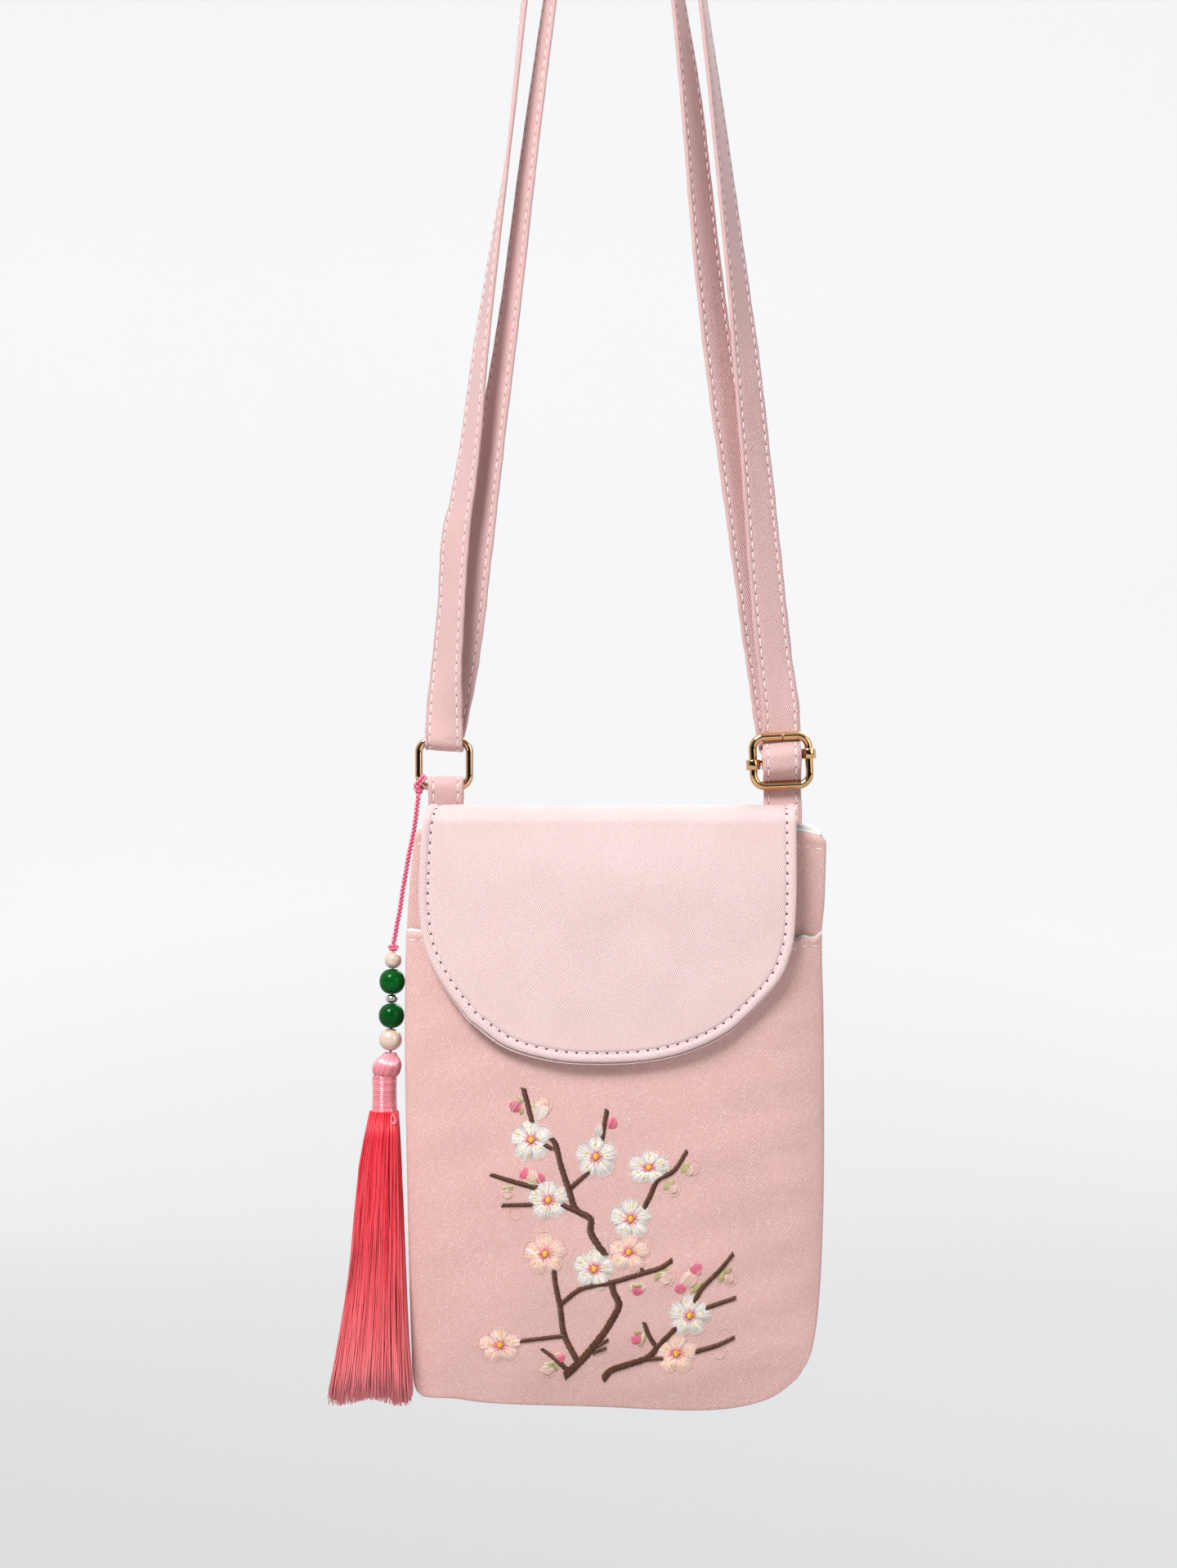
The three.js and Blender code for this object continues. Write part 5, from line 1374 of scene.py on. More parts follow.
def strap_section(width):
    """Strap section, round the outline: rolled edges and a groove under each row of stitches."""
    half = width / 2
    bend = [(half - STRAP_HALF + STRAP_HALF * math.cos(a), STRAP_HALF * math.sin(a))
            for a in np.radians(np.linspace(-90, 90, 7))]
    stitch = half - STITCH_INSET
    face = [(stitch + offset, thick) for offset, thick in STRAP_GROOVE]
    face += [(stitch / 2, STRAP_HALF), (0.0, STRAP_HALF)]
    upper = face + [(-a, b) for a, b in face[-2::-1]]
    return np.array(bend + upper + [(-a, -b) for a, b in bend] + [(-a, -b) for a, b in upper])


def strap_piece(name, rows, width, node):
    """One strap along its stations, a little uneven in width."""
    line, edge, face = strap_course(rows, STRAP_STEPS)
    section = strap_section(width)
    at = lengths(line)
    pucker = 1 + sum(share * np.sin(2 * math.pi * at / length) for share, length in PUCKER)
    verts = (line[:, None] + edge[:, None] * section[None, :, :1] * pucker[:, None, None]
             + face[:, None] * section[None, :, 1:])
    grid = verts.shape[:2]
    round_way, along = np.broadcast_to(-lengths(section), grid), np.broadcast_to(at[:, None], grid)
    weave = np.stack([round_way, along, np.zeros(grid)], -1).reshape(-1, 3)
    return add_piece(name, stacked(verts), "strap twill", "strap_pink", [node], weave=weave)


class BAG_OT_strap(bpy.types.Operator):
    """Makes the long strap and the short tab of the left ring"""
    bl_idname = "bag.strap"
    bl_label = "Strap and tab"

    def execute(self, context):
        strap_piece("shoulder_strap", strap_rows(), STRAP_WIDTH, "strap")
        strap_piece("ring_tab", tab_rows(), TAB_WIDTH, "strap_tab")
        return {"FINISHED"}


# Topstitches.
# Pitch, and width share of the dark dots of painted shadow in the holes the needle made, for the hems, the
# strap and the tab; rows sewn across, by distance from the end.
HEM_SEWING = (3.6, 0.5)
STRAP_SEWING = (3.5, 0.52)
TAB_SEWING = (3.4, 0.52)
TAIL_ROW = 3.0
TAIL_HALF = 4.6
END_ROWS = (2.0, 14.0)
END_HALF = 4.0
FRONT = (0.0, -1.0, 0.0)
BACK = (0.0, 1.0, 0.0)
# Width shares of the front hems, and of the back hem beside the flap; half width of the flap's root seam.
FRONT_HEM = (0.017, 0.98)
BACK_HEMS = ((0.02, 0.05), (0.935, 0.983))
ROOT_SEAM_HALF = 53.5


def toward(points, way):
    """A line of points that all face one way."""
    return points, np.tile(way, (len(points), 1))


def cross_row(course, distance, half, way):
    """A row of stitches across a strap, at a distance from its start."""
    line, edge, face = course
    spot = np.argmin(np.abs(lengths(line) - distance))
    span = np.linspace(-half, half, 14)[:, None]
    return toward(line[spot] + edge[spot] * span + face[spot] * way * 0.75, face[spot] * way)


def strap_lines(rows, width):
    """Rows of stitches along both edges of a strap, on both faces."""
    line, edge, face = strap_course(rows, SEAM_STEPS)
    at = lengths(line)
    keep = (at > STITCH_START) & (at < at[-1] - STITCH_START)
    line, edge, face = line[keep], edge[keep], face[keep]
    inset = width / 2 - STITCH_INSET
    return [(line + edge * side * inset + face * way * 0.5, face * way)
            for side in (-1, 1) for way in (-1, 1)]


class BAG_OT_topstitch(bpy.types.Operator):
    """Sews the topstitches of the flap, hems, strap and tab"""
    bl_idname = "bag.topstitch"
    bl_label = "Topstitches"

    def execute(self, context):
        stitched("flap_stitches", [self.flap_line()])
        stitched("hem_stitches", self.hem_lines(), *HEM_SEWING)
        stitched("strap_stitches", strap_lines(strap_rows(), STRAP_WIDTH), *STRAP_SEWING)
        stitched("tab_stitches", self.tab_lines(), *TAB_SEWING)
        return {"FINISHED"}

    def flap_line(self):
        """The seam along the flap's rolled rim."""
        flat, _, root = flap_grid(COVER_GROW)
        ring = np.argmin(np.abs(RIM_STEPS - FLAP_STITCH))
        keep = root[:, ring] > FLAP_STITCH
        x, fall = flat[keep, ring, 0], flat[keep, ring, 1]
        high = flap_outside(np.full_like(x, FLAP_STITCH), root[keep, ring], x, fall)
        place = flap_point(x, fall, high + 0.05)
        return place, unit(flap_point(x, fall, high + 0.6) - place)

    def hem_lines(self):
        """Hems of the mouth and the pocket, and the seam at the flap's root."""
        u = np.linspace(*FRONT_HEM, 200)
        level = 1 - MOUTH_STITCH / POUCH_HEIGHT
        mouth = wall_point("front", u, np.full_like(u, level), 0.0) + (0, 0.3, 0)
        pocket = pocket_point(u, np.full_like(u, 1 - POCKET_STITCH / POCKET_HEIGHT), POCKET_WALL)
        pocket[:, 1] -= pocket_height(pocket[:, 0], pocket[:, 2]) * POCKET_STITCH / POCKET_EASE - 0.3
        x = np.linspace(-ROOT_SEAM_HALF, ROOT_SEAM_HALF, 120)
        seam = flap_point(x, np.full_like(x, FLAP_ROOT - FLAP_STITCH), np.full_like(x, COVER_TOP + 0.1))
        lines = [toward(mouth, FRONT), toward(pocket, FRONT), toward(seam, BACK)]
        for span in BACK_HEMS:
            part = np.linspace(*span, 14)
            lines.append(toward(wall_point("back", part, np.full_like(part, level), 0.0) - (0, 0.3, 0), BACK))
        return lines

    def tab_lines(self):
        """Seams of the tab, and the rows sewn across the ends of strap and tab."""
        lines = strap_lines(tab_rows(), TAB_WIDTH)
        strap, tab = (strap_course(rows, SEAM_STEPS) for rows in (strap_rows(), tab_rows()))
        lines += [cross_row(strap, TAIL_ROW, TAIL_HALF, way) for way in (-1, 1)]
        for course in (strap, tab):
            total = lengths(course[0])[-1]
            way = 1.0 if course[2][-1][1] > 0 else -1.0
            lines += [cross_row(course, total - back, END_HALF, way) for back in END_ROWS]
        return lines


# Embroidery.
class Ground:
    """Finds the pocket's outer face at a place of the embroidery."""

    def __init__(self):
        obj = bpy.data.objects["slip_pocket"]
        mesh = obj.data
        self.tree = BVHTree.FromPolygons([v.co for v in mesh.vertices], [p.vertices for p in mesh.polygons])

    def at(self, x, z):
        spot, normal, _, _ = self.tree.ray_cast(Vector((x * MM, -0.1, z * MM)), Vector((0, 1, 0)))
        if spot is None:
            raise RuntimeError("embroidery lies off the pocket")
        return np.array(spot) / MM, np.array(normal)

    def row(self, x0, z0, x1, z1, width, height, tone, lift=0.0):
        """One thread from one place to another."""
        first, out_a = self.at(x0, z0)
        last, out_b = self.at(x1, z1)
        out = unit(out_a + out_b)
        span = last - first
        return (first + last) / 2 + out * lift, span, out, np.linalg.norm(span), width, height, tone


def spot_on(line, at, along):
    """Point of a flat line at a distance along it."""
    return np.array([np.interp(along, at, line[:, k]) for k in (0, 1)])


def branch_threads(ground, rng, silk):
    """Slanted satin stitches along the branches."""
    rows = []
    slant = math.radians(BRANCH_SLANT)
    turn = np.array([[math.cos(slant), -math.sin(slant)], [math.sin(slant), math.cos(slant)]])
    for first, last, points in BRANCHES:
        line = smooth_line(points, 40)
        at = lengths(line)
        for along in np.arange(0.0, at[-1], BRANCH_PITCH):
            ahead = spot_on(line, at, along + 0.3) - spot_on(line, at, along - 0.3)
            way = turn @ unit(ahead)
            width = (first + (last - first) * along / at[-1]) * rng.uniform(0.86, 1.12)
            middle, reach = spot_on(line, at, along), way * (width / 2 / math.sin(slant))
            rows.append(ground.row(*(middle - reach), *(middle + reach), silk * 0.85, silk * 1.6,
                                   rng.uniform(0.0, 1.0), 0.06))
    return rows


def blossom_threads(ground, rng, silk, rows):
    """Petals of radial stitches with a fine outline, stamens, dots and a yellow centre."""
    for x, z, squash, colour in BLOSSOMS:
        start = 90 + rng.uniform(-7, 7)

        def spot(angle, reach):
            return x + reach * math.cos(angle), z + squash * reach * math.sin(angle)

        def ray(name, angle, near, far, width, tone, lift):
            rows[name].append(ground.row(*spot(angle, near), *spot(angle, far), width, silk, tone, lift))

        for petal in range(PETAL_COUNT):
            middle = math.radians(start + petal * 360 / PETAL_COUNT)
            spread = math.radians(PETAL_SPREAD)
            size = PETAL_RADIUS * rng.uniform(0.95, 1.03)
            for part in np.linspace(-1, 1, PETAL_THREADS):
                far = size * (1 - 0.26 * abs(part) ** PETAL_POWER) + rng.uniform(-0.2, 0.2)
                # Tone: random, with painted shade darker toward the petal's two sides, between neighbouring
                # petals.
                tone = np.clip(0.7 - 0.55 * abs(part) ** 4 + rng.uniform(-0.35, 0.35), 0, 1)
                silk_name = "white" if colour == "white" or rng.random() < 0.15 else "peach"
                lift = 0.05 + 0.06 * (1 - part * part)
                ray(silk_name, middle + spread * part, 1.1, far, silk * 0.9, tone, lift)
            for part in (-0.75, -0.1, 0.5):
                angle = middle + spread * (part + rng.uniform(-0.15, 0.15))
                ray("pink", angle, 0.7, rng.uniform(2.2, 4.1), silk * 0.65, rng.uniform(0.3, 1.0), 0.22)
            for part in (-0.4, 0.0, 0.4):
                near = rng.uniform(2.5, 3.9)
                angle = middle + spread * (part + rng.uniform(-0.2, 0.2))
                far = near + rng.uniform(0.7, 1.9)
                ray("lime", angle, near, far, silk * 1.15, rng.uniform(0.0, 1.0), 0.24)
            ends = [spot(middle + spread * part * 1.02, size * (1 - 0.27 * abs(part) ** PETAL_POWER) + 0.42)
                    for part in np.linspace(-1, 1, 11)]
            for first, last in zip(ends[:-1], ends[1:]):
                rows["cream" if colour == "white" else "peach"].append(
                    ground.row(*first, *last, silk * 0.5, silk * 0.7, rng.uniform(0.0, 0.45), 0.03))
            angle = middle + rng.uniform(-0.12, 0.12)
            ray("yellow", angle, 0.9, 2.3, silk * 0.55, rng.uniform(0.2, 0.8), 0.29)
        for k in range(8):
            ray("pink", k * math.pi / 4 + 0.2, 0.5, 1.5, silk * 0.62, rng.uniform(0.0, 0.6), 0.28)
        for k in range(7):
            level = (k - 3) * 0.26
            wide = math.sqrt(max(0.9**2 - level**2, 0.05))
            ends = (x - wide, z + level * squash, x + wide, z + (level + 0.2) * squash)
            rows["yellow"].append(ground.row(*ends, silk, silk * 1.5, rng.uniform(0.6, 1.0), 0.34))


def leaf_threads(ground, rng, silk, rows):
    """Leaves and buds of side-by-side stitches, and the fine outlines beside some of them."""
    for x, z, length, width, angle, colour in LEAVES:
        way = math.radians(angle)
        ahead, side = np.array([math.cos(way), math.sin(way)]), np.array([-math.sin(way), math.cos(way)])
        if colour != "green":
            length, width = length * BUD_SWELL, width * BUD_SWELL
        count = max(int(width / 0.3), 3)
        for k in range(count):
            part = (k + 0.5) / count * 2 - 1
            half = length / 2 * math.sqrt(max(1 - part * part, 0.08)) * rng.uniform(0.9, 1.06)
            centre = np.array([x, z]) + side * part * width / 2
            a, b = centre - ahead * half, centre + ahead * half
            name = BUD_MIX[colour] if rng.random() < 0.12 else colour
            rows[name].append(ground.row(*a, *b, silk * 0.85, silk * 1.3, rng.uniform(0.1, 1.0), 0.06))
    for x, z, radius, first, last in OUTLINES:
        angles = np.radians(np.arange(first, last, 26))
        for a, b in zip(angles, angles + math.radians(24)):
            rows["peach"].append(ground.row(x + radius * math.cos(a), z + radius * math.sin(a),
                                            x + radius * math.cos(b), z + radius * math.sin(b),
                                            silk * 0.6, silk * 0.8, rng.uniform(0.0, 0.5), 0.03))


class BAG_OT_embroidery(bpy.types.Operator):
    """Lays the branch, blossom and bud threads on the pocket"""
    bl_idname = "bag.embroidery"
    bl_label = "Embroidery"

    def execute(self, context):
        ground, rng = Ground(), np.random.default_rng(5)
        silk = thread().silk / MM
        laid("branch_embroidery", branch_threads(ground, rng, silk), "branch silk")
        rows = {name: [] for name in ("white", "peach", "cream", "pink", "green", "yellow", "lime")}
        blossom_threads(ground, rng, silk, rows)
        leaf_threads(ground, rng, silk, rows)
        for name, threads in rows.items():
            laid(name + "_embroidery", threads, name + " silk")
        return {"FINISHED"}


# Ring and slider.
def round_box(width, height, corner, steps):
    """Outline of a rectangle with round corners, as places across and up."""
    outline = []
    for right, up, start in ((1, 1, 0), (-1, 1, 90), (-1, -1, 180), (1, -1, 270)):
        for angle in np.radians(np.linspace(start, start + 90, steps)):
            outline.append((right * (width / 2 - corner) + corner * math.cos(angle),
                            up * (height / 2 - corner) + corner * math.sin(angle)))
    return np.array(outline)


def wire_frame(wire):
    """Closed middle line of a bent wire frame."""
    points = np.insert(round_box(wire.width, wire.height, wire.corner, 14), 1, 0.0, axis=1)
    dense = by_length(np.vstack([points, points[:1]]))(np.linspace(0, 1, 160, endpoint=False))
    return tilted(dense, wire.tilt) + wire[:3]


def tilted(points, degrees):
    """Points turned in the plane of the bag's front."""
    c, s = math.cos(math.radians(degrees)), math.sin(math.radians(degrees))
    turned = points.copy()
    turned[:, 0] = points[:, 0] * c - points[:, 2] * s
    turned[:, 2] = points[:, 0] * s + points[:, 2] * c
    return turned


class BAG_OT_hardware(bpy.types.Operator):
    """Makes the left ring, the slider frame with its butt joint, and the loose bar"""
    bl_idname = "bag.hardware"
    bl_label = "Ring and slider"

    def execute(self, context):
        ring = tube(wire_frame(RING), WIRE_RADIUS, WIRE_SIDES, closed=True)
        add_piece("ring_wire", ring, "rose wire", "gold", ["strap_ring"])
        self.slider()
        self.bar()
        return {"FINISHED"}

    def slider(self):
        """The slider's frame, whose wire ends meet near the middle of the upper side."""
        path = wire_frame(SLIDER)
        joint = np.array(SLIDER[:3]) + (0.4, 0.0, SLIDER.height / 2)
        path = np.roll(path, -int(np.argmin(np.linalg.norm(path - joint, axis=1))), 0)
        shares = np.concatenate([BUTT_SHARES, np.linspace(0.012, 0.988, 170), 1 - BUTT_SHARES[::-1]])
        line = by_length(np.vstack([path, path[:1]]))(shares)
        size = np.full(len(line), WIRE_RADIUS)
        size[:4] = WIRE_RADIUS * BUTT_TAPER
        size[-4:] = WIRE_RADIUS * BUTT_TAPER[::-1]
        add_piece("slider_wire", tube(line, size, WIRE_SIDES), "gold wire", "gold", ["slider_frame"])

    def bar(self):
        """The loose bar, with a curl round each side of the frame."""
        section = round_box(BAR.depth, BAR.height, BAR.corner, 5)
        xs = np.linspace(-BAR.length / 2, BAR.length / 2, 12)
        verts = tilted(np.array([(x, *spot) for x in xs for spot in section]), BAR.tilt)
        parts = [stacked((verts + (SLIDER.x, SLIDER.y, BAR.z)).reshape(len(xs), -1, 3))]
        outer, inner, half, soft, nick = CURL.outer, CURL.inner, CURL.height / 2, CURL.soft, CURL.nick
        profile = [(inner, -half + soft), (inner, half - soft), (inner + soft, half), (outer - soft, half),
                   (outer - nick, half - nick), (outer, half - soft), (outer, -half + soft),
                   (outer - nick, -half + nick), (outer - soft, -half), (inner + soft, -half)]
        for side in (-1, 1):
            place = (side * SLIDER.width / 2, 0.0, BAR.z - SLIDER.z + side * CURL.lift)
            verts, faces = lathe(profile, place, 32, closed=True)
            parts.append((tilted(verts, SLIDER.tilt) + SLIDER[:3], faces))
        add_piece("slider_crossbar", gather(parts), "gold wire", "gold", ["slider_bar"])


# Charm.
# Strands of a braid, as shares of its radius: distance from the middle, weave in and out, and size.
STRAND_OUT = 0.47
STRAND_WEAVE = 0.17
STRAND_SIZE = 0.36


def braid(path, radius, pitch, step=0.3):
    """Four strands braided round a path: two turn one way and two the other."""
    path = np.asarray(path, float)
    total = lengths(path)[-1]
    line = by_length(path)(np.linspace(0, 1, max(int(total / step), 8)))
    one, two = carry(line)
    at = lengths(line)
    turn = 2 * math.pi * at / pitch
    strands = []
    for way in (1, -1):
        for start in (0.0, math.pi):
            angle = way * turn + start
            out = radius * (STRAND_OUT + way * STRAND_WEAVE * np.cos(2 * turn))
            spot = line + one * (np.cos(angle) * out)[:, None] + two * (np.sin(angle) * out)[:, None]
            strands.append(tube(spot, radius * STRAND_SIZE, 6))
    return strands


def coat_braid(name, strands, node):
    """Makes one piece of braided strands, two of each four in the pale silk: partly paler thread, partly
    painted highlight of the glossy cord.
    """
    verts, faces = gather(strands)
    sizes = [len(polygons) for _, polygons in strands]
    # Two of each four strands take the pale silk, a painted highlight as well as paler thread; tones
    # alternate within each pair.
    which = np.repeat(np.arange(len(strands)) % 4 // 2, sizes)
    tone = np.concatenate([np.full(len(v), 0.35 + 0.3 * (k % 2)) for k, (v, _) in enumerate(strands)])
    materials = [finish_named("cord silk"), finish_named("cord pale silk")]
    mesh = make_mesh(name, verts, faces, materials, tone=tone, which=which, turn_out=False)
    return settle(name, mesh, [node])


def knot_line(place, size, count=120):
    """A tied knot round a place, closed on itself."""
    t = np.linspace(0, 2 * math.pi, count, endpoint=False)
    shape = np.stack([np.sin(t) + 2 * np.sin(2 * t), -np.sin(3 * t) * 1.4, np.cos(t) - 2 * np.cos(2 * t)], -1)
    knot = shape / 3.0 * size + np.asarray(place)
    return np.vstack([knot, knot[:1]])


class BAG_OT_cord(bpy.types.Operator):
    """Makes the charm's braided cord and ties it to the ring"""
    bl_idname = "bag.cord"
    bl_label = "Charm cord"

    def execute(self, context):
        line = smooth_line(CORD_PATH, 12)
        obj = coat_braid("braided_cord", braid(line, CORD_DIAMETER / 2, 2.6), "charm_cord")
        coat_braid("ring_hitch", self.hitch(), "charm_hitch")
        coat_braid("stop_knot", self.stop_knot(), "bead_thread")
        return {"FINISHED"}

    def hitch(self):
        """Two turns round the ring's lower left corner, and the knot below them."""
        away, lie = math.radians(HITCH_ANGLE), math.radians(HITCH_HEADING)
        corner = RING.corner
        wire = np.array([RING.x - RING.width / 2 + corner + corner * math.cos(away), RING.y,
                         RING.z - RING.height / 2 + corner + corner * math.sin(away)])
        along = np.array([-math.sin(lie), 0.0, math.cos(lie)])
        out = np.array([math.cos(lie), 0.0, math.sin(lie)])
        t = np.linspace(0, 2 * math.pi, 60)
        turns = np.outer(np.cos(t), out) * 2.1 + np.outer(np.sin(t), (0.0, 1.0, 0.0)) * 2.05
        strands = []
        for shift in (-0.58, 0.58):
            strands += braid(wire + along * shift + turns, 0.66, 2.2, 0.25)
        lump = np.array(HITCH_LUMP)
        neck = [wire + out * 1.9 + along * 0.2, lump + (-0.4, -0.9, 1.2), lump, np.array(CORD_PATH[0])]
        strands += braid(smooth_line(neck, 12), 0.95, 2.4)
        return strands + braid(knot_line(lump + (0.2, 0.0, -0.5), 1.3), 0.8, 2.2, 0.25)

    def stop_knot(self):
        """The knot at the cord's end, and the thread through the beads."""
        spot = np.array(STOP_KNOT)
        strands = []
        for shift in (-0.75, 0.75):
            strands += braid(knot_line(spot + (shift, 0.0, 0.1), 0.75, 80), 0.5, 1.7, 0.22)
        end = spot + (0, 0, -0.6)
        strands += braid(np.array([CORD_PATH[-1], end]), 0.9, 2.4)
        low = np.array([BEADS[-1].x, BEADS[-1].y, STRING_LOW - 0.4])
        return strands + braid(np.array([end, low]), 0.5, 2.0)


class BAG_OT_beads(bpy.types.Operator):
    """Turns the five drilled beads of the charm"""
    bl_idname = "bag.beads"
    bl_label = "Beads"

    def execute(self, context):
        level = STRING_TOP
        for bead in BEADS:
            full, tall = bead.radius * BEAD_SWELL, bead.height + BEAD_GAP * 0.8
            start = math.asin(BORE_RADIUS / full)
            angles = np.linspace(-math.pi / 2 + start, math.pi / 2 - start, 26)
            profile = [(full * math.cos(a) ** BEAD_PLUMP[bead.kind], tall / 2 * math.sin(a)) for a in angles]
            bore, lip = BORE_RADIUS * 0.86, tall / 2 * math.cos(start) - 0.15
            profile += [(bore, lip), (bore, -lip)]
            shape = lathe(profile, (bead.x, bead.y, level - bead.height / 2), 44, closed=True)
            name = bead.node.replace("_bead", "") + "_drilled"
            add_piece(name, shape, bead.kind + " bead", BEAD_SLOTS[bead.kind], [bead.node])
            level -= bead.height + BEAD_GAP
        return {"FINISHED"}


KNOB_BASE = np.array([KNOB.x, KNOB.y, STRING_LOW - KNOB.gap - KNOB.height])
KNOB_GIRTH = column(KNOB_SHAPE, 1)
KNOB_THREADS = 62
KNOB_TWIST = 0.5


def knob_point(share, turn, inset):
    """Points of the tassel's knob by height share and angle, inset from its face."""
    reach = KNOB.radius * KNOB_GIRTH(share) - inset
    lean = (BEADS[-1].x - KNOB.x) * share**2
    return np.stack([np.cos(turn) * reach + lean, np.sin(turn) * reach, share * KNOB.height], -1) + KNOB_BASE


class BAG_OT_tassel(bpy.types.Operator):
    """Makes the tassel: knob, bound neck and silk skirt"""
    bl_idname = "bag.tassel"
    bl_label = "Tassel"

    def execute(self, context):
        rng = np.random.default_rng(12)
        self.head(rng)
        self.binding(rng)
        self.skirt(rng)
        return {"FINISHED"}

    def head(self, rng):
        """The round knob, covered with slanted silk, with a painted highlight band round its crown."""
        steps = np.linspace(0, 1, 14)
        rounds = np.linspace(0, 2 * math.pi, 32, endpoint=False)
        core = np.array([knob_point(np.full(32, share), rounds, 0.3) for share in steps])
        parts, tones = [stacked(core)], [0.2]
        for start in np.linspace(0, 2 * math.pi, KNOB_THREADS, endpoint=False):
            turn = start + KNOB_TWIST * (steps - 0.5) + rng.uniform(-0.02, 0.02)
            parts.append(tube(knob_point(steps, turn, 0.2), 0.3, 5))
            # Tone of each thread: random, plus a painted highlight band round the knob's crown.
            tones.append(np.repeat(rng.uniform(0.05, 0.5) + 0.75 * bell(steps - 0.62, 0.16), 5))
        self.dress("tassel_head", parts, tones, "bound silk", "tassel_head", "tassel_knob")

    def binding(self, rng):
        """The neck, bound with turns of silk, and a loose loop of the binding thread."""
        place = KNOB_BASE + (NECK[0] - KNOB.x, NECK[1] - KNOB.y, 0.4)
        shape = column([(z, r) for r, z in NECK_SHAPE], 1)
        tall = -NECK_SHAPE[-1][1]
        core = [(float(shape(z)) - 0.3, z) for z in np.linspace(-tall, 0, 16)]
        parts, tones = [lathe(core, place, 30)], [0.3]
        t = np.linspace(0, 2 * math.pi, 34)
        for k in range(NECK_TURNS):
            z = -0.25 - (tall - 0.5) * (k + t / (2 * math.pi)) / NECK_TURNS
            reach = shape(z) - 0.18
            spot = np.stack([np.cos(t) * reach, np.sin(t) * reach, z], -1) + place
            parts.append(tube(spot, 0.26, 6))
            tones.append(rng.uniform(0.1, 0.55))
        parts.append(tube(smooth_line(THREAD_LOOP, 6) + place, 0.2, 5))
        tones.append(1.1)
        self.dress("tassel_binding", parts, tones, "bound silk", "tassel_head", "tassel_neck")

    def skirt(self, rng):
        """The skirt of single strands round a core, painted paler toward their ends and darker near the top,
        as painted light and shade.
        """
        middle_x, middle_y, wide, deep = (column(SKIRT, k) for k in (1, 2, 3, 4))

        def spot(z, angle, share):
            return np.stack([middle_x(z) + share * wide(z) * np.cos(angle),
                             middle_y(z) + share * deep(z) * np.sin(angle), z], -1)

        rounds = np.linspace(0, 2 * math.pi, 24, endpoint=False)
        levels = np.linspace(CORE_LOW, SKIRT_TOP + 0.6, 18)
        core = np.array([spot(np.full(24, z), rounds, CORE_SHARE) for z in levels])
        parts, tones = [stacked(core)], [0.25]
        size = charm().strand_width / MM / 2 * np.linspace(1, 0.8, STRAND_POINTS)
        for k in range(charm().strands):
            angle = 2 * math.pi * k * GOLDEN_SHARE + rng.uniform(-0.05, 0.05)
            share = 0.99 - 0.3 * rng.random() ** 1.6
            end = STRAND_LOW + STRAND_UNEVEN * rng.random() ** 2 + 1.2 * math.sin(3 * angle)
            z = np.linspace(SKIRT_TOP + 0.9, max(end, STRAND_LOWEST), STRAND_POINTS)
            fall = (z - z[0]) / (z[-1] - z[0])
            drift = rng.uniform(-0.1, 0.1) * fall
            flare = 1 + rng.normal(0, 0.04) * fall**3
            path = spot(z, angle + drift, share * flare)
            path[:, 0] += 0.25 * np.sin(7 * fall + k)
            path[:, 1] += 0.25 * np.cos(6 * fall + k)
            parts.append(tube(path, size, STRAND_SIDES))
            # Painted light and shade along each strand: darker near the top, paler toward the ends, on top of
            # a random tone.
            tone = rng.uniform(-0.2, 0.15) - 0.2 * (1 - fall) ** 4 + 0.3 * fall + 0.9 * fall**5
            tones.append(np.repeat(tone, STRAND_SIDES))
        self.dress("tassel_strands", parts, tones, "tassel silk", "tassel_coral", "tassel_skirt")

    def dress(self, name, parts, tones, finish, slot, node):
        """Makes one piece of parts, each with its tone."""
        tone = np.concatenate([np.full(len(points), value) for (points, _), value in zip(parts, tones)])
        add_piece(name, gather(parts), finish, slot, [node], tone=tone)


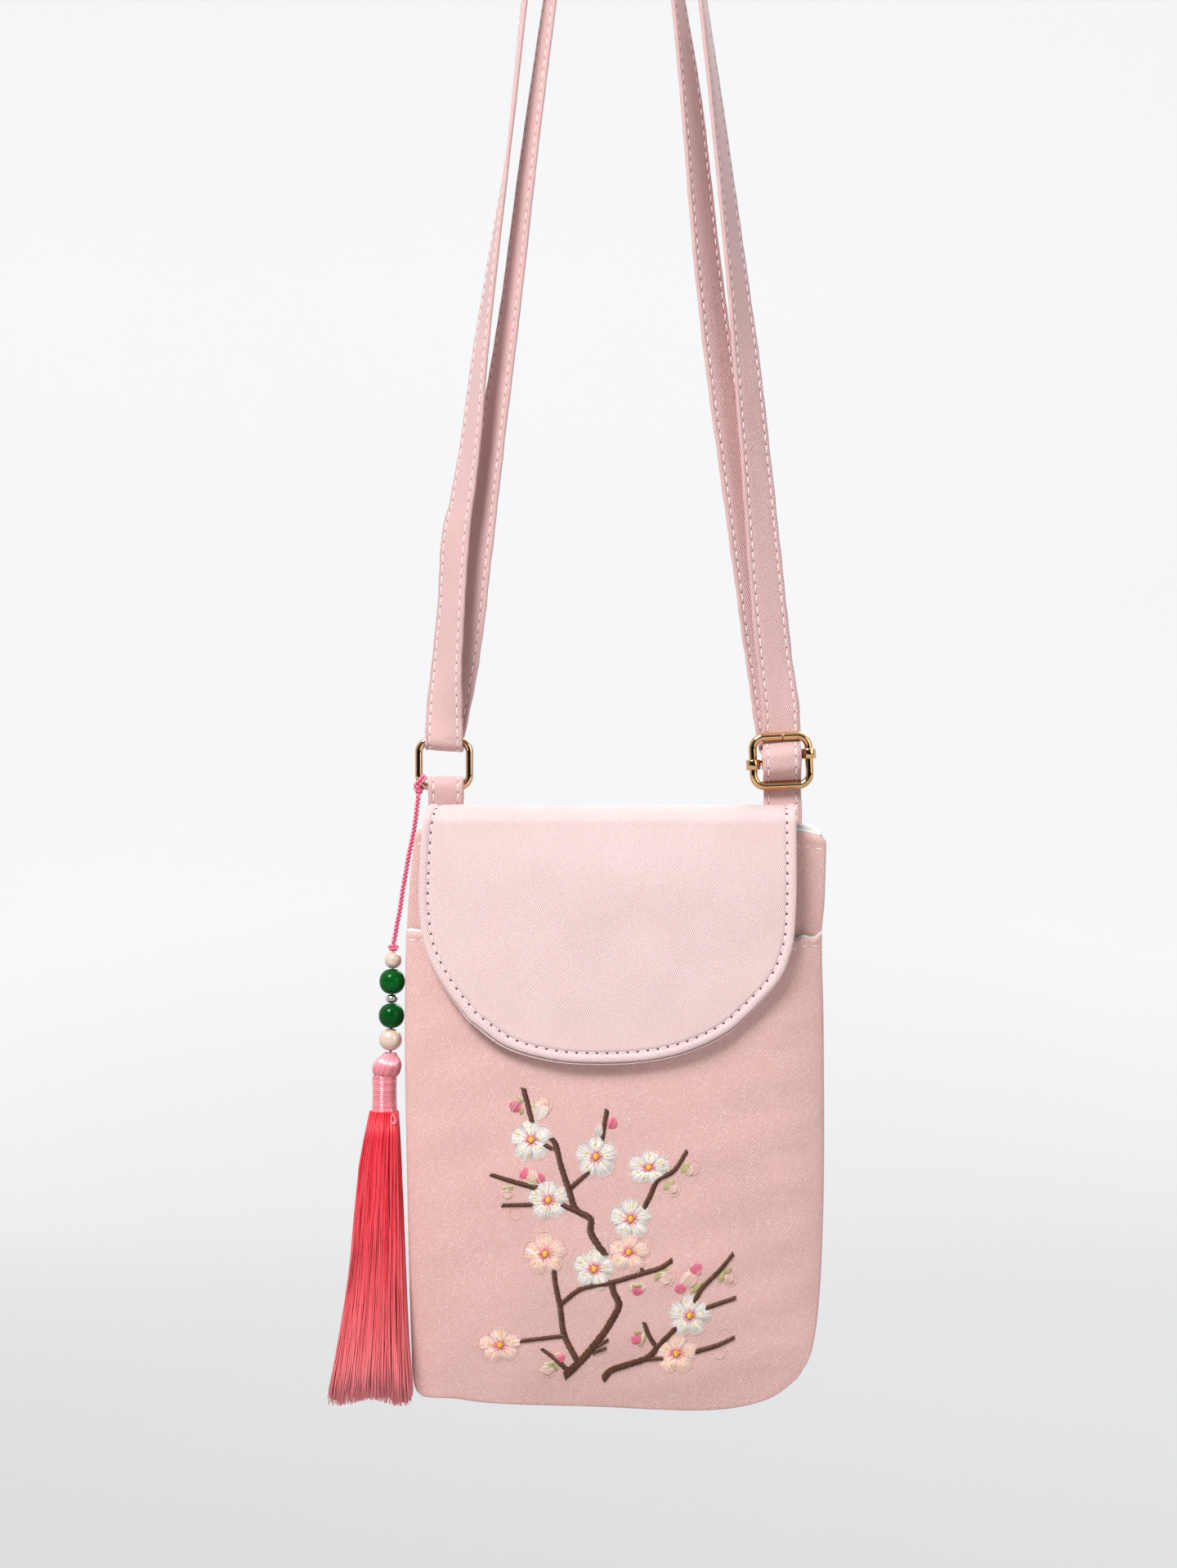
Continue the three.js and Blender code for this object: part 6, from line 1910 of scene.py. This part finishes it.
# Stage.
class BAG_OT_stage(bpy.types.Operator):
    """Sets the camera, the pale floor and backdrop, and the studio light"""
    bl_idname = "bag.stage"
    bl_label = "Stage"

    def execute(self, context):
        scene = context.scene
        self.camera(scene)
        self.floor(scene)
        self.room(scene)
        self.lamps(scene)
        return {"FINISHED"}

    def camera(self, scene):
        """A level camera that looks at the bag's front."""
        lens = bpy.data.cameras.new("camera")
        lens.lens = CAMERA_LENS
        lens.sensor_width = CAMERA_SENSOR
        scene.camera = new_object("camera", lens)
        scene.camera.location = Vector(CAMERA_PLACE) * MM
        scene.camera.rotation_euler = (math.pi / 2, 0.0, 0.0)

    def floor(self, scene):
        """The floor and the backdrop in one sheet, with a dimmed base colour and a painted glow that grows
        away from the bag.
        """
        s = scene.bag_stage
        low = CAD_BOX[0][2] - s.floor_drop
        start, radius = BACKDROP_BEND
        profile = [(y, low) for y in BACKDROP_FLOOR]
        profile += [(start + radius * math.sin(a), low + radius * (1 - math.cos(a)))
                    for a in np.radians(np.linspace(0, 90, 14))]
        profile.append((start + radius, BACKDROP_TOP))
        xs = np.linspace(-BACKDROP_HALF, BACKDROP_HALF, 9)
        verts = np.array([(x, y, z) for x in xs for y, z in profile]) / MM
        index = np.arange(len(verts)).reshape(len(xs), -1)
        quads = np.stack([index[:-1, :-1], index[1:, :-1], index[1:, 1:], index[:-1, 1:]], -1).reshape(-1, 4)
        material, shader, w = new_material("pale backdrop", Emission_Strength=0.97)
        place = w.place()
        cloud = w.mottle(place, 1.5)
        away = w.add("ShaderNodeVectorMath", {0: place}, "Value", operation="LENGTH")
        # Painted light: the backdrop's emission, faint near the bag and full far away, makes a bright wall
        # that also lights the bag.
        glow = w.span(away, 1.0, 3.6, 0.1, 1.0)
        w.put(shader["Base Color"], w.mix(cloud["Cloud"], shade(s.pale, 0.58), shade(s.pale, 0.6)))
        w.put(shader["Roughness"], w.span(cloud["Grain"], 0.3, 0.7, 0.8, 0.9))
        w.put(shader["Emission Color"], w.mix(glow, (0.0, 0.0, 0.0, 1.0), shade(s.pale, 1.0)))
        mesh = make_mesh("floor", verts, quads.tolist(), [material], turn_out=False)
        new_object("floor", mesh)

    def room(self, scene):
        """Light from all round: stronger from behind and above, and stronger in reflections."""
        scene.view_settings.view_transform = "Standard"
        world = bpy.data.worlds.new("room")
        world.use_nodes = True
        w = Wiring(world.node_tree)
        _, y, z = w.add("ShaderNodeSeparateXYZ", {0: w.add("ShaderNodeTexCoord", output="Generated")}, None)
        glow = w.maths("ADD", w.span(y, -0.7, 0.2, 0.02, 1.3), w.span(z, 0.1, 0.9, 0.0, 0.6))
        rays = w.add("ShaderNodeLightPath", output=None)
        seen, mirrored = rays["Is Camera Ray"], w.span(rays["Is Glossy Ray"], 0.0, 1.0, 1.0, 2.4)
        glow = w.maths("MULTIPLY", w.maths("MULTIPLY", glow, scene.bag_stage.sky), mirrored)
        unseen = w.maths("MULTIPLY", w.maths("SUBTRACT", 1.0, seen), glow)
        back = world.node_tree.nodes["Background"]
        back.inputs["Color"].default_value = (0.97, 0.98, 1.0, 1.0)
        w.put(back.inputs["Strength"], w.maths("ADD", w.maths("MULTIPLY", seen, 0.92), unseen))
        scene.world = world

    def lamps(self, scene):
        """Round area lamps that face the bag."""
        for name, spot, width, power, share in LAMPS:
            lamp = bpy.data.lights.new(name, "AREA")
            lamp.shape = "DISK"
            lamp.size = width
            lamp.energy = getattr(scene.bag_stage, power) * share
            light = new_object(name, lamp)
            light.location = spot
            light.rotation_euler = (Vector(LAMP_AIM) - Vector(spot)).to_track_quat("-Z", "Y").to_euler()


STEPS = (BAG_OT_stage, BAG_OT_cord, BAG_OT_pouch, BAG_OT_pocket, BAG_OT_flap, BAG_OT_strap, BAG_OT_hardware,
         BAG_OT_topstitch, BAG_OT_embroidery, BAG_OT_beads, BAG_OT_tassel)
GROUPS = {"bag_cloth": BagClothSettings, "bag_thread": BagThreadSettings, "bag_charm": BagCharmSettings,
          "bag_metal": BagMetalSettings, "bag_stage": BagStageSettings}


class BAG_PT_panel(bpy.types.Panel):
    """Lists the bag's sizes, colours and pieces"""
    bl_idname = "BAG_PT_panel"
    bl_label = "Shoulder bag"
    bl_space_type = "VIEW_3D"
    bl_region_type = "UI"
    bl_category = "Bag"

    def draw(self, context):
        for name, kind in GROUPS.items():
            box = self.layout.box()
            for key in kind.__annotations__:
                box.prop(getattr(context.scene, name), key)
        for step in STEPS:
            self.layout.operator(step.bl_idname)


def register():
    for kind in (*GROUPS.values(), *STEPS, BAG_PT_panel):
        bpy.utils.register_class(kind)
    for name, kind in GROUPS.items():
        setattr(bpy.types.Scene, name, PointerProperty(type=kind))


def unregister():
    for name in GROUPS:
        delattr(bpy.types.Scene, name)
    for kind in (BAG_PT_panel, *STEPS, *GROUPS.values()):
        bpy.utils.unregister_class(kind)


def main():
    register()
    for step in STEPS:
        family, name = step.bl_idname.split(".")
        getattr(getattr(bpy.ops, family), name)()


if __name__ == "__main__":
    main()
